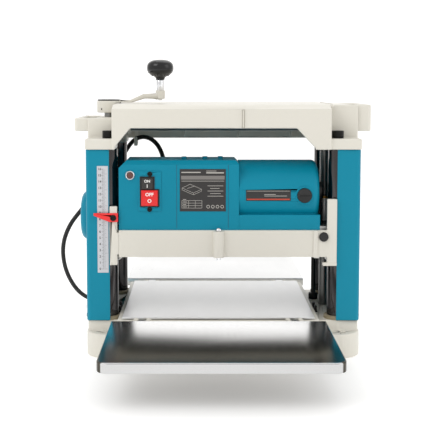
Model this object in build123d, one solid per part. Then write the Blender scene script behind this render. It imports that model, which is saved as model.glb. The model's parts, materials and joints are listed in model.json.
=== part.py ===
from build123d import *
import math
import os

os.makedirs("parts", exist_ok=True)

# Frame: X to the right along the working width, Y along the feed (boards enter at -Y),
# Z up from the surface that the base stands on. Millimetres.

# ---- driving dimensions ----
WORK_X = -8.0                  # middle of the working width
TABLE_HALF_WIDTH = 152.0
TABLE_HALF_LENGTH = 139.5
TABLE_TOP = 66.0
SHEET = 2.5                    # thickness of the polished table sheets
BED_MARGIN = 7.0               # machined strip of the bed beside the table sheet
WING_HALF_WIDTH = 167.0        # extension tables
WING_NEAR, WING_FAR = 162.5, 385.5
WING_SKIRT = 51.5
WING_CORNER = 17.0
HINGE_Y, HINGE_Z = 151.0, 58.0
HINGE_OFFSET = 120.0
PIN_RADIUS = 3.0

FOOT_X, FOOT_Y = 218.0, 142.0
FOOT_SHOULDER_X, FOOT_SHOULDER_Y = 185.0, 115.0
FLANGE_TOP, BODY_TOP = 38.6, 55.0
BOLT_X, BOLT_Y, BOLT_HOLE_RADIUS = 191.0, 126.0, 4.5

COLUMN_X, COLUMN_RADIUS = 184.0, 15.0
COLUMN_FRONT_Y, COLUMN_REAR_Y = -95.0, 90.0
COLUMN_SPOTS = [(side * COLUMN_X, y) for side in (-1, 1) for y in (COLUMN_FRONT_Y, COLUMN_REAR_Y)]
SCREW_LEFT_X, SCREW_RIGHT_X, SCREW_RADIUS, JOURNAL_RADIUS = -192.0, 176.0, 9.0, 5.0
RUNNING_FIT = 0.05

COVER_X, COVER_INNER_X = 218.7, 181.2
COVER_FRONT_Y, COVER_REAR_Y, COVER_WALL = -117.0, 112.0, 2.0
COVER_BOTTOM, LUG_BOTTOM, LUG_TOP = 55.0, 330.0, 347.0
LUG_INNER_X, LUG_INNER_REAR_X = (165.5, 172.0), 168.0   # front right, front left; both rear
BULGE_RADIUS, BULGE_DEPTH, BULGE_Z = 42.0, 19.5, 210.0

FRAME_TOP, FRAME_WALL = 401.0, 5.0
FRAME_FRONT_Y, FRAME_REAR_Y = -126.0, 131.0
DECK_FRONT_Y = -105.0
LEFT_DECK_TOP = 378.0
CHEEK_LEFT_X, CHEEK_RIGHT_X = -176.0, 170.0
SIDE_WALL_X = 210.0
POCKET_FRONT_Y, POCKET_REAR_Y = -80.0, 75.0
GRIP_X, GRIP_BAR, GRIP_HALF_GAP, GRIP_END, GRIP_BOTTOM = 241.5, 7.0, 60.0, 12.0, 357.0
SHAFT_Z, SHAFT_RADIUS = 359.0, 5.0
GEAR_BACK, GEAR_FRONT, GEAR_TEETH = 11.0, 7.0, 12

CRANK_ARM, CRANK_HUB = 87.4, 20.0
KNOB_RADIUS, KNOB_BOTTOM, KNOB_TOP = 22.5, 440.4, 474.7

HEAD_LEFT, HEAD_RIGHT = -162.0, 146.0     # inner faces of the end walls
HEAD_BOTTOM, DECK_BOTTOM, DECK_TOP = 155.0, 202.0, 206.0
SLEEVE_BOTTOM, SLEEVE_RADIUS, BUSH_RADIUS, NUT_RADIUS = 151.0, 19.0, 17.0, 11.3
RAIL_FRONT_Y, RAIL_BACK_Y = -122.0, -112.0
RAIL_BOTTOM, RAIL_TOP = 159.0, 201.6
RAIL_X = (-166.0, 150.0)
RIB_X, RIB_RADIUS = -7.4, 9.2
DRUM_Z, CUTTING_RADIUS, DRUM_RADIUS = 178.0, 22.0, 19.5
ROLLER_Y, ROLLER_Z, ROLLER_RADIUS = 46.0, 169.5, 14.5
HOUSING_FRONT_Y, HOUSING_BACK_Y, HOUSING_WALL = -117.0, -25.0, 3.0
BOX_LEFT, BOX_RIGHT, BOX_TOP = -166.0, 25.0, 312.5
SWITCH_SCREWS, SMALL_SCREW = [(-116.4, 291.3), (-117.0, 235.0)], 2.0
MOTOR_Y, MOTOR_Z, MOTOR_RADIUS = -66.0, 258.0, 52.0
MOTOR_RIGHT = 153.5
BELT_X = (154.6, 160.0)
BELT_COVER_X = (154.1, 162.4)
MOTOR_PULLEY_RADIUS, DRUM_PULLEY_RADIUS = 11.0, 19.0
CHAIN_X = (-178.0, -173.0)
SPROCKET_TEETH, CHAIN_PITCH = 12, 6.35

CORD_RADIUS = 4.0
CORD_EXIT, GUARD_TIP_Y, GUARD_ROOT = (-100.0, 276.0), 14.0, 6.0   # exit: X and Z in the back wall
COIL_CENTRE, COIL_OUTER, COIL_INNER, COIL_HEIGHT = (-95.0, 262.0), 56.0, 32.0, 16.0
PLUG_RADIUS, PLUG_LENGTH = 17.0, 42.0

BED = (WORK_X - TABLE_HALF_WIDTH - BED_MARGIN, WORK_X + TABLE_HALF_WIDTH + BED_MARGIN)


# ---- shapes used by many pieces ----
def block(x, y, z):
    """A box between the low and high value of each pair."""
    middle = [(low + high) / 2 for low, high in (x, y, z)]
    return Pos(*middle) * Box(x[1] - x[0], y[1] - y[0], z[1] - z[0])


def rod(axis, centre, span, radius):
    """A cylinder along an axis; centre holds its two other coordinates in X, Y, Z order."""
    length, middle = span[1] - span[0], (span[0] + span[1]) / 2
    first, second = centre
    if axis == "X":
        return Pos(middle, first, second) * Rot(0, 90, 0) * Cylinder(radius, length)
    if axis == "Y":
        return Pos(first, middle, second) * Rot(90, 0, 0) * Cylinder(radius, length)
    return Pos(first, second, middle) * Cylinder(radius, length)


def slab_x(outline, x):
    """A (Y, Z) outline drawn out along X."""
    face = make_face(Polyline(*[(x[0], y, z) for y, z in outline], close=True))
    return extrude(face, amount=x[1] - x[0], dir=(1, 0, 0))


def slab_y(outline, y):
    """An (X, Z) outline drawn out along Y."""
    face = make_face(Polyline(*[(x, y[0], z) for x, z in outline], close=True))
    return extrude(face, amount=y[1] - y[0], dir=(0, 1, 0))


def mirrored(span):
    return (-span[1], -span[0])


def save(node, *shapes):
    solids = [solid for shape in shapes for solid in shape.solids()]
    export_step(Compound(children=solids) if len(solids) > 1 else solids[0], f"parts/{node}.step")


# ---- base ----
def foot(side):
    """One side of the base: a tall flange with a bowed end at the front and the back."""
    inner = BED[1] if side > 0 else -BED[0]
    bow = (FOOT_SHOULDER_X + 22, FOOT_SHOULDER_Y + 17)
    edges = [
        Line((inner, -FOOT_Y), (FOOT_SHOULDER_X, -FOOT_Y)),
        ThreePointArc((FOOT_SHOULDER_X, -FOOT_Y), (bow[0], -bow[1]), (FOOT_X, -FOOT_SHOULDER_Y)),
        Line((FOOT_X, -FOOT_SHOULDER_Y), (FOOT_X, FOOT_SHOULDER_Y)),
        ThreePointArc((FOOT_X, FOOT_SHOULDER_Y), bow, (FOOT_SHOULDER_X, FOOT_Y)),
        Line((FOOT_SHOULDER_X, FOOT_Y), (inner, FOOT_Y)),
        Line((inner, FOOT_Y), (inner, -FOOT_Y)),
    ]
    shape = extrude(make_face(Curve() + edges), amount=FLANGE_TOP)
    shape += block((inner, FOOT_X - 1.5), (-113, 113), (FLANGE_TOP - 1, BODY_TOP))
    for y in (-45, 45):
        shape -= block((inner + 8, FOOT_X - 9), (y - 25, y + 25), (-1, FLANGE_TOP - 8))
    return shape if side > 0 else mirror(shape, about=Plane.YZ)


def base_casting():
    shape = block(BED, (-TABLE_HALF_LENGTH, TABLE_HALF_LENGTH), (0, TABLE_TOP - SHEET))
    columns, rows, rib = 5, 4, 5.0
    cell_x = (BED[1] - BED[0] - rib) / columns
    cell_y = (2 * TABLE_HALF_LENGTH - rib) / rows
    for i in range(columns):
        for j in range(rows):
            x = BED[0] + rib + i * cell_x
            y = -TABLE_HALF_LENGTH + rib + j * cell_y
            shape -= block((x, x + cell_x - rib), (y, y + cell_y - rib), (-1, TABLE_TOP - SHEET - 8))
    shape += foot(-1) + foot(1)
    for x, y in COLUMN_SPOTS:
        shape += rod("Z", (x, y), (FLANGE_TOP, BODY_TOP + 3), COLUMN_RADIUS + 4)
    for end in (-1, 1):
        for offset in (-HINGE_OFFSET, HINGE_OFFSET):
            for lug in (-10, 10):
                x = WORK_X + offset + lug
                ear = rod("X", (end * HINGE_Y, HINGE_Z), (x - 3, x + 3), 7.0)
                root = sorted((end * HINGE_Y, end * (TABLE_HALF_LENGTH - 1)))
                ear += block((x - 3, x + 3), root, (HINGE_Z - 7, HINGE_Z + 5))
                shape += ear
        shape -= rod("X", (end * HINGE_Y, HINGE_Z), (-200, 200), PIN_RADIUS)
    for x, y in COLUMN_SPOTS:
        shape -= rod("Z", (x, y), (12, 80), COLUMN_RADIUS)
    for x in (SCREW_LEFT_X, SCREW_RIGHT_X):
        shape -= rod("Z", (x, 0), (30, 80), JOURNAL_RADIUS + RUNNING_FIT)
    for x in (-BOLT_X, BOLT_X):
        for y in (-BOLT_Y, BOLT_Y):
            shape -= rod("Z", (x, y), (-1, FLANGE_TOP + 1), BOLT_HOLE_RADIUS)
    return shape


def main_table():
    x = (WORK_X - TABLE_HALF_WIDTH, WORK_X + TABLE_HALF_WIDTH)
    return block(x, (-TABLE_HALF_LENGTH, TABLE_HALF_LENGTH), (TABLE_TOP - SHEET, TABLE_TOP))


def side_stops():
    """Black brackets on the base beside the main table, left and right."""
    pieces = []
    for x in (BED[0] - 7.5, BED[1] + 1.5):
        bar = block((x, x + 6), (-62, -22), (BODY_TOP, BODY_TOP + 2.5))
        for y in (-60, -34):
            bar += block((x + 1, x + 5), (y, y + 9), (BODY_TOP + 2, BODY_TOP + 10))
        pieces.append(bar)
    return pieces


def wing_table(end):
    """An extension table: a rimmed polished sheet with ribs below and two hinge arms."""
    x = (WORK_X - WING_HALF_WIDTH, WORK_X + WING_HALF_WIDTH)
    outer = block(x, (WING_NEAR, WING_FAR), (WING_SKIRT, TABLE_TOP))
    corners = outer.edges().filter_by(Axis.Z).sort_by(Axis.Y)[-2:]
    outer = fillet(corners, WING_CORNER)
    shape = chamfer(outer.faces().sort_by(Axis.Z)[-1].edges(), 1.0)
    columns, rows, rib = 5, 3, 3.0
    cell_x = (x[1] - x[0] - rib) / columns
    cell_y = (WING_FAR - WING_NEAR - rib) / rows
    for i in range(columns):
        for j in range(rows):
            low_x = x[0] + rib + i * cell_x
            low_y = WING_NEAR + rib + j * cell_y
            cell = block(
                (low_x, low_x + cell_x - rib), (low_y, low_y + cell_y - rib),
                (WING_SKIRT - 1, TABLE_TOP - SHEET),
            )
            upright = cell.edges().filter_by(Axis.Z)
            corner = WING_CORNER - rib if j == rows - 1 and i in (0, columns - 1) else 3.0
            shape -= fillet(upright, corner)
    for offset in (-HINGE_OFFSET, HINGE_OFFSET):
        arm_x = (WORK_X + offset - 6, WORK_X + offset + 6)
        shape += rod("X", (HINGE_Y, HINGE_Z), arm_x, 6.5)
        shape += block(arm_x, (HINGE_Y, WING_NEAR + 1), (HINGE_Z - 4.5, HINGE_Z + 4.5))
    shape -= rod("X", (HINGE_Y, HINGE_Z), (-200, 200), PIN_RADIUS + RUNNING_FIT)
    return shape if end > 0 else mirror(shape, about=Plane.XZ)


def hinge_pins():
    """A pin through each pair of ears, with its head on the outer ear."""
    pins = []
    for end in (-1, 1):
        for offset in (-HINGE_OFFSET, HINGE_OFFSET):
            x = WORK_X + offset
            outer = x + math.copysign(13, offset)
            head = sorted((outer, outer + math.copysign(3, offset)))
            pin = rod("X", (end * HINGE_Y, HINGE_Z), (x - 13, x + 13), PIN_RADIUS)
            pins.append(pin + rod("X", (end * HINGE_Y, HINGE_Z), head, PIN_RADIUS + 2))
    return pins


# ---- columns, covers, scale ----
def columns():
    thread = 25.0
    pieces = []
    for x, y in COLUMN_SPOTS:
        post = rod("Z", (x, y), (12, LUG_BOTTOM), COLUMN_RADIUS)
        pieces.append(post - rod("Z", (x, y), (LUG_BOTTOM - thread, LUG_BOTTOM + 1), 5.0))
    return pieces


def column_screws():
    """Socket-head screws that hold the upper frame on the columns."""
    pieces = []
    for x, y in COLUMN_SPOTS:
        screw = rod("Z", (x, y), (LUG_BOTTOM - 24, LUG_TOP), 5.0)
        screw += rod("Z", (x, y), (LUG_TOP, LUG_TOP + 12), 9.5)
        socket = Pos(x, y, LUG_TOP + 6) * extrude(RegularPolygon(4.6, 6), amount=8)
        pieces.append(screw - socket)
    return pieces


def side_cover(side):
    """A thin wrap-round cover, open towards the working area, with rounded upright edges."""
    shell = block((COVER_INNER_X, COVER_X), (COVER_FRONT_Y, COVER_REAR_Y), (COVER_BOTTOM, LUG_BOTTOM))
    shell = fillet(shell.edges().filter_by(Axis.Z).sort_by(Axis.X)[-2:], 7.0)
    hollow = block(
        (COVER_INNER_X - 1, COVER_X - COVER_WALL),
        (COVER_FRONT_Y + COVER_WALL, COVER_REAR_Y - COVER_WALL),
        (COVER_BOTTOM - 1, LUG_BOTTOM + 1),
    )
    hollow = fillet(hollow.edges().filter_by(Axis.Z).sort_by(Axis.X)[-2:], 5.0)
    shape = shell - hollow
    if side < 0:
        bulge = rod("X", (0, BULGE_Z), (COVER_X - 1, COVER_X + BULGE_DEPTH), BULGE_RADIUS)
        bulge = fillet(bulge.edges().filter_by(GeomType.CIRCLE).sort_by(Axis.X)[-1], 12.0)
        shape += bulge
        shape -= rod("X", (0, BULGE_Z), (COVER_X - 4, COVER_X + BULGE_DEPTH - 4), BULGE_RADIUS - 8)
        shape = mirror(shape, about=Plane.YZ)
    return shape


def scale_plate():
    return block((-200.3, -182.8), (COVER_FRONT_Y - 0.8, COVER_FRONT_Y), (133, 304))


# ---- upper frame ----
def frame_corner(side, end):
    """A lug over one column, below a pocket for its screw."""
    inner = LUG_INNER_X[side < 0] if end < 0 else LUG_INNER_REAR_X
    x = (inner, COVER_X)
    front = (FRAME_FRONT_Y + FRAME_WALL, POCKET_FRONT_Y + FRAME_WALL)
    rear = (POCKET_REAR_Y - FRAME_WALL, FRAME_REAR_Y - 10)
    y = front if end < 0 else rear
    return block(x if side > 0 else mirrored(x), y, (LUG_BOTTOM, LUG_TOP))


def frame_side(side):
    """The deck, side wall and carrying grip of one side."""
    top = FRAME_TOP - 1 if side > 0 else LEFT_DECK_TOP
    cheek = CHEEK_RIGHT_X if side > 0 else -CHEEK_LEFT_X
    depth = (POCKET_FRONT_Y, POCKET_REAR_Y)
    shape = block((cheek - FRAME_WALL, SIDE_WALL_X), depth, (top - FRAME_WALL, top))
    shape += block((SIDE_WALL_X - FRAME_WALL, SIDE_WALL_X), depth, (LUG_BOTTOM, top))
    for y in (POCKET_FRONT_Y, POCKET_REAR_Y - FRAME_WALL):
        shape += block((cheek - FRAME_WALL, COVER_X), (y, y + FRAME_WALL), (LUG_BOTTOM, top))
    for y in (-GRIP_HALF_GAP - GRIP_END, GRIP_HALF_GAP):
        shape += block((SIDE_WALL_X - 1, GRIP_X), (y, y + GRIP_END), (GRIP_BOTTOM, top))
    reach = GRIP_HALF_GAP + GRIP_END
    shape += block((GRIP_X - GRIP_BAR, GRIP_X), (-reach, reach), (GRIP_BOTTOM, top))
    uprights = shape.edges().filter_by(Axis.Z).filter_by_position(Axis.X, GRIP_X - 0.1, GRIP_X + 0.1)
    shape = fillet(uprights, 6.0)
    return shape if side > 0 else mirror(shape, about=Plane.YZ)


def upper_frame():
    inner_y = (FRAME_FRONT_Y, FRAME_FRONT_Y + FRAME_WALL)
    front = [
        (FRAME_FRONT_Y, 364), (FRAME_FRONT_Y, 394), (DECK_FRONT_Y, FRAME_TOP),
        (DECK_FRONT_Y, FRAME_TOP - FRAME_WALL), (inner_y[1], 391), (inner_y[1], 364),
    ]
    shape = slab_x(front, (CHEEK_LEFT_X, CHEEK_RIGHT_X))
    deck_x = (CHEEK_LEFT_X, -CHEEK_LEFT_X)
    shape += block(deck_x, (DECK_FRONT_Y, FRAME_REAR_Y), (FRAME_TOP - FRAME_WALL, FRAME_TOP))
    left_drop = [
        (CHEEK_LEFT_X, 366), (-145, 366), (-146.7, 364),
        (-172, 333.8), (-172, LUG_BOTTOM), (CHEEK_LEFT_X, LUG_BOTTOM),
    ]
    right_drop = [
        (CHEEK_RIGHT_X, 366), (114, 366), (115.4, 364),
        (145.5, 332), (145.5, LUG_BOTTOM), (CHEEK_RIGHT_X, LUG_BOTTOM),
    ]
    shape += slab_y(left_drop, inner_y) + slab_y(right_drop, inner_y)
    cheek_side = [
        (FRAME_FRONT_Y, LUG_BOTTOM), (FRAME_FRONT_Y, 394), (DECK_FRONT_Y, FRAME_TOP),
        (POCKET_FRONT_Y + FRAME_WALL, FRAME_TOP), (POCKET_FRONT_Y + FRAME_WALL, LUG_BOTTOM),
    ]
    shape += slab_x(cheek_side, (CHEEK_LEFT_X, CHEEK_LEFT_X + FRAME_WALL))
    shape += slab_x(cheek_side, (CHEEK_RIGHT_X - FRAME_WALL, CHEEK_RIGHT_X))
    rear_x = (CHEEK_LEFT_X, CHEEK_RIGHT_X)
    shape += block(rear_x, (FRAME_REAR_Y - FRAME_WALL, FRAME_REAR_Y), (335, FRAME_TOP))
    for x in (CHEEK_LEFT_X, CHEEK_RIGHT_X - FRAME_WALL):
        shape += block((x, x + FRAME_WALL), (POCKET_REAR_Y - FRAME_WALL, FRAME_REAR_Y), (335, FRAME_TOP))
    for side in (-1, 1):
        shape += frame_side(side)
        shape += frame_corner(side, -1) + frame_corner(side, 1)
    step = (CHEEK_LEFT_X, CHEEK_LEFT_X + FRAME_WALL)
    shape += block(step, (POCKET_FRONT_Y, POCKET_REAR_Y), (LEFT_DECK_TOP - FRAME_WALL, FRAME_TOP))
    lining = rod("Z", (SCREW_LEFT_X, 0), (LEFT_DECK_TOP - FRAME_WALL, FRAME_TOP), CRANK_HUB + 5)
    shape += lining & block((-178, -160), (-30, 30), (360, FRAME_TOP))
    shape -= rod("Z", (SCREW_LEFT_X, 0), (LEFT_DECK_TOP, FRAME_TOP + 1), CRANK_HUB + 1.5)
    for x in (-66, 34, 129):
        rib_y = (FRAME_REAR_Y - FRAME_WALL - 4, FRAME_REAR_Y - FRAME_WALL + 1)
        shape += block((x - 2, x + 2), rib_y, (338, FRAME_TOP - 1))
    shape += slab_y([(29, 364), (33, 364), (33, 394), (29, 394)], (FRAME_FRONT_Y - 1.5, FRAME_FRONT_Y + 1))
    for x in (-160, 150):
        shape += block((x - 5, x + 5), (-9, 9), (SHAFT_Z - 10, FRAME_TOP - 1))
    shape -= rod("X", (0, SHAFT_Z), (-185, 172), SHAFT_RADIUS + RUNNING_FIT)
    shape += rod("Z", (SCREW_RIGHT_X, 0), (FRAME_TOP - 21, FRAME_TOP - 2), 10.0)
    shape -= rod("Z", (SCREW_RIGHT_X, 0), (FRAME_TOP - 22, FRAME_TOP - 3), JOURNAL_RADIUS + RUNNING_FIT)
    journal = JOURNAL_RADIUS + RUNNING_FIT
    shape -= rod("Z", (SCREW_LEFT_X, 0), (LEFT_DECK_TOP - 10, LEFT_DECK_TOP + 1), journal)
    for x, y in COLUMN_SPOTS:
        shape -= rod("Z", (x, y), (LUG_BOTTOM - 1, LUG_TOP + 1), 5.0)
        shape -= rod("Z", (x, y), (LUG_TOP, LUG_TOP + 12.5), 10.5)
    return shape


def cord_hook():
    """A J-shaped hook under the rear wall of the upper frame that carries the cord."""
    x = (-157, -151)
    wall_y = FRAME_REAR_Y - FRAME_WALL
    hook = block(x, (wall_y - 3, wall_y), (322, 350)) + block(x, (102, wall_y), (322, 325.5))
    return hook + block(x, (102, 105), (322, 337))


def stop_rod():
    """The black depth stop rod beside the right lead screw, with its flat head and collar."""
    x, y = 163.0, 40.0
    rod_body = rod("Z", (x, y), (62, 286), 4.0)
    rod_body += rod("Z", (x, y), (283, 287), 7.0)
    rod_body += rod("Z", (x, y), (BODY_TOP, 66), 8.0)
    return rod_body


# ---- lifting gear ----
def bevel_gear(turned):
    """A mitre gear below its apex, which is at the origin; turned is its tooth phase in degrees."""
    addendum, dedendum = 0.8, 1.1
    blank = Pos(0, 0, -(GEAR_BACK + GEAR_FRONT) / 2) * Cone(
        GEAR_BACK + addendum, GEAR_FRONT + addendum, GEAR_BACK - GEAR_FRONT
    )
    half = math.radians(6.9)
    slant = (GEAR_FRONT * 1.2, GEAR_BACK * 1.6)
    normal = Vector(1, 0, 1).normalized()
    plane = Plane(origin=normal * -dedendum, x_dir=(1, 0, -1), z_dir=normal)
    near, far = (u * math.tan(half) for u in slant)
    corners = [(slant[0], -near), (slant[1], -far), (slant[1], far), (slant[0], near)]
    gap = extrude(plane * make_face(Polyline(*corners, close=True)), amount=6)
    for i in range(GEAR_TEETH):
        blank -= Rot(0, 0, turned + i * 360 / GEAR_TEETH) * gap
    hub = rod("Z", (0, 0), (-GEAR_BACK - 5, -GEAR_BACK), 7.5)
    return blank + hub


def screw_gear(x):
    gear = Pos(x, 0, SHAFT_Z) * bevel_gear(0)
    return gear - rod("Z", (x, 0), (SHAFT_Z - 20, SHAFT_Z + 5), JOURNAL_RADIUS)


def cross_shaft():
    """The shaft under the deck, with a mitre gear at each end."""
    half_tooth = 180 / GEAR_TEETH
    left = Pos(SCREW_LEFT_X, 0, SHAFT_Z) * Rot(0, -90, 0) * bevel_gear(half_tooth)
    right = Pos(SCREW_RIGHT_X, 0, SHAFT_Z) * Rot(0, 90, 0) * bevel_gear(half_tooth)
    span = (SCREW_LEFT_X + GEAR_FRONT, SCREW_RIGHT_X - GEAR_FRONT)
    return rod("X", (0, SHAFT_Z), span, SHAFT_RADIUS) + left + right


def lead_screw(x, top):
    screw = rod("Z", (x, 0), (BODY_TOP + 1, SHAFT_Z - GEAR_BACK - 6), SCREW_RADIUS)
    screw += rod("Z", (x, 0), (32, top), JOURNAL_RADIUS)
    return screw


def crank_arm():
    knob_x = SCREW_LEFT_X + CRANK_ARM
    outline = [
        (SCREW_LEFT_X, 402.3), (-153, 402.3), (-131, 409), (knob_x, 409),
        (knob_x, 417), (-133, 417), (-156, 406.5), (SCREW_LEFT_X, 406.5),
    ]
    hub = rod("Z", (SCREW_LEFT_X, 0), (385.5, 405.5), CRANK_HUB)
    hub = fillet(hub.edges().filter_by(GeomType.CIRCLE), 1.5)
    arm = hub + slab_y(outline, (-7, 7)) + rod("Z", (knob_x, 0), (408.5, 423), 8.0)
    arm -= rod("Z", (SCREW_LEFT_X, 0), (385, 402), JOURNAL_RADIUS)
    return arm - rod("Z", (knob_x, 0), (405, 425), 4.0)


def crank_spindle():
    x = SCREW_LEFT_X + CRANK_ARM
    spindle = rod("Z", (x, 0), (408.5, 468), 4.0)
    return spindle + rod("Z", (x, 0), (406, 408.5), 3.6) + rod("Z", (x, 0), (423, 440), 6.5)


def crank_knob():
    """A mushroom knob whose neck widens into a rounded head."""
    x = SCREW_LEFT_X + CRANK_ARM
    outline = Spline(
        (7.2, 0, KNOB_BOTTOM), (8.4, 0, 444.5), (12.6, 0, 447.5), (18.2, 0, 451), (21.6, 0, 455.2),
        (KNOB_RADIUS, 0, 460.3), (20.9, 0, 467.8), (14.9, 0, 472.6), (8.4, 0, 474.3), (0, 0, KNOB_TOP),
    )
    edges = [
        Line((0, 0, KNOB_BOTTOM), (7.2, 0, KNOB_BOTTOM)), outline,
        Line((0, 0, KNOB_TOP), (0, 0, KNOB_BOTTOM)),
    ]
    knob = Pos(x, 0, 0) * revolve(make_face(Curve() + edges), axis=Axis.Z)
    return knob - rod("Z", (x, 0), (KNOB_BOTTOM - 1, 469), 4.0 + RUNNING_FIT)


# ---- cutter head ----
def head_casting():
    left, right = (HEAD_LEFT - 8, HEAD_LEFT), (HEAD_RIGHT, HEAD_RIGHT + 8)
    shape = block((left[0], right[1]), (-112, 100), (DECK_BOTTOM, DECK_TOP))
    for wall in (left, right):
        shape += block(wall, (-112, 100), (HEAD_BOTTOM, DECK_TOP))
    for x, y in COLUMN_SPOTS:
        shape += rod("Z", (x, y), (SLEEVE_BOTTOM, DECK_TOP), SLEEVE_RADIUS)
        web = sorted((x, HEAD_LEFT - 8 if x < 0 else HEAD_RIGHT + 8))
        shape += block(web, (y - 8, y + 8), (DECK_TOP - 30, DECK_TOP))
    for x in (SCREW_LEFT_X, SCREW_RIGHT_X):
        shape += rod("Z", (x, 0), (DECK_BOTTOM, 240), NUT_RADIUS + 2)
        web = sorted((x, HEAD_LEFT - 2 if x < 0 else HEAD_RIGHT + 2))
        shape += block(web, (-10, 12), (DECK_BOTTOM, DECK_TOP + 6))
        shape -= rod("Z", (x, 0), (DECK_BOTTOM - 1, 241), NUT_RADIUS)
    shape -= belt_outline(BELT_COVER_X, 5.5)
    for x, y in COLUMN_SPOTS:
        shape -= rod("Z", (x, y), (SLEEVE_BOTTOM - 1, DECK_TOP + 1), BUSH_RADIUS)
    shape -= block((HEAD_LEFT + 12, HEAD_RIGHT - 12), (26, 44), (DECK_BOTTOM - 1, DECK_TOP + 1))
    shape -= rod("X", (0, DRUM_Z), (left[0] - 1, right[1] + 1), 14.0)
    for y in (-ROLLER_Y, ROLLER_Y):
        for wall in (left, right):
            shape -= block((wall[0] - 1, wall[1] + 1), (y - 9, y + 9), (HEAD_BOTTOM - 1, ROLLER_Z + 22))
    return shape


def front_rail():
    """The cream front of the head, with a half-round rib that holds the depth gauge pin."""
    rail = block(RAIL_X, (RAIL_FRONT_Y, RAIL_FRONT_Y + 6), (RAIL_BOTTOM, RAIL_TOP))
    rail += block(RAIL_X, (RAIL_FRONT_Y, RAIL_BACK_Y), (RAIL_BOTTOM, RAIL_BOTTOM + 4))
    lip_y = (RAIL_FRONT_Y - 1.5, RAIL_FRONT_Y + 1)
    rail += block((RAIL_X[1] - 7, RAIL_X[1]), lip_y, (RAIL_BOTTOM, RAIL_TOP))
    rail += rod("Z", (RIB_X, RAIL_FRONT_Y), (RAIL_BOTTOM, RAIL_TOP - 0.6), RIB_RADIUS)
    return rail - rod("Z", (RIB_X, RAIL_FRONT_Y - 1.5), (RAIL_BOTTOM - 1, RAIL_TOP + 1), 3.0 + RUNNING_FIT)


def gauge_pin():
    centre = (RIB_X, RAIL_FRONT_Y - 1.5)
    dome = Pos(*centre, RAIL_TOP + 0.2) * Sphere(5.0)
    cap = dome & block((-20, 20), (-140, -100), (RAIL_TOP + 0.2, RAIL_TOP + 6))
    return rod("Z", centre, (154.6, RAIL_TOP + 1), 3.0) + cap


def head_brackets():
    """Narrow castings at the head's two front ends, in front of the columns."""
    y = (RAIL_FRONT_Y, RAIL_FRONT_Y + 7.0)
    left = block((-180.4, -168.6), y, (146, 240)) + block((-172, -166.2), y, (163, 198))
    left -= rod("Y", (-174.5, 222.0), (y[0] - 1, y[1] + 1), SMALL_SCREW)
    left += block((-180.4, -177), (y[0] - 1, y[1]), (146, 150))
    right = block((165, 180.4), y, (145, 251.5)) + block((RAIL_X[1] + 0.2, 166), y, (159, RAIL_TOP))
    right += block((158, 180.4), (y[0] - 1.5, y[1]), (145, 150))
    return left, right


def pointer():
    outline = [(-167, 229.5), (-167, 215.5), (-181, 215.5), (-205.5, 225.5), (-205.5, 229.5)]
    flag = slab_y(outline, (RAIL_FRONT_Y - 2.2, RAIL_FRONT_Y - 0.05))
    return flag - rod("Y", (-174.5, 222.0), (RAIL_FRONT_Y - 3, RAIL_FRONT_Y + 1), SMALL_SCREW)


def small_screws():
    """The pointer's screw and the two screws of the switch plate."""
    places = [(-174.5, 222.0, RAIL_FRONT_Y - 2.2, 4.8)]
    places += [(x, z, HOUSING_FRONT_Y - 1.2, 3.9) for x, z in SWITCH_SCREWS]
    screws = []
    for x, z, face, head in places:
        screw = rod("Y", (x, z), (face, face + 4.1), SMALL_SCREW)
        screw += rod("Y", (x, z), (face - 1.8, face), head)
        screws.append(screw - block((x - head, x + head), (face - 2, face - 1), (z - 0.5, z + 0.5)))
    return screws


def lift_nuts():
    """Bronze nuts with flanges; the threads are plain running bores."""
    nuts = []
    for x in (SCREW_LEFT_X, SCREW_RIGHT_X):
        nut = rod("Z", (x, 0), (204, 240), NUT_RADIUS) + rod("Z", (x, 0), (240, 244), NUT_RADIUS + 2)
        nuts.append(nut - rod("Z", (x, 0), (203, 245), SCREW_RADIUS + RUNNING_FIT))
    return nuts


def column_bushes():
    bore = COLUMN_RADIUS + RUNNING_FIT
    return [
        rod("Z", (x, y), (SLEEVE_BOTTOM, DECK_TOP), BUSH_RADIUS)
        - rod("Z", (x, y), (SLEEVE_BOTTOM - 1, DECK_TOP + 1), bore)
        for x, y in COLUMN_SPOTS
    ]


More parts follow.
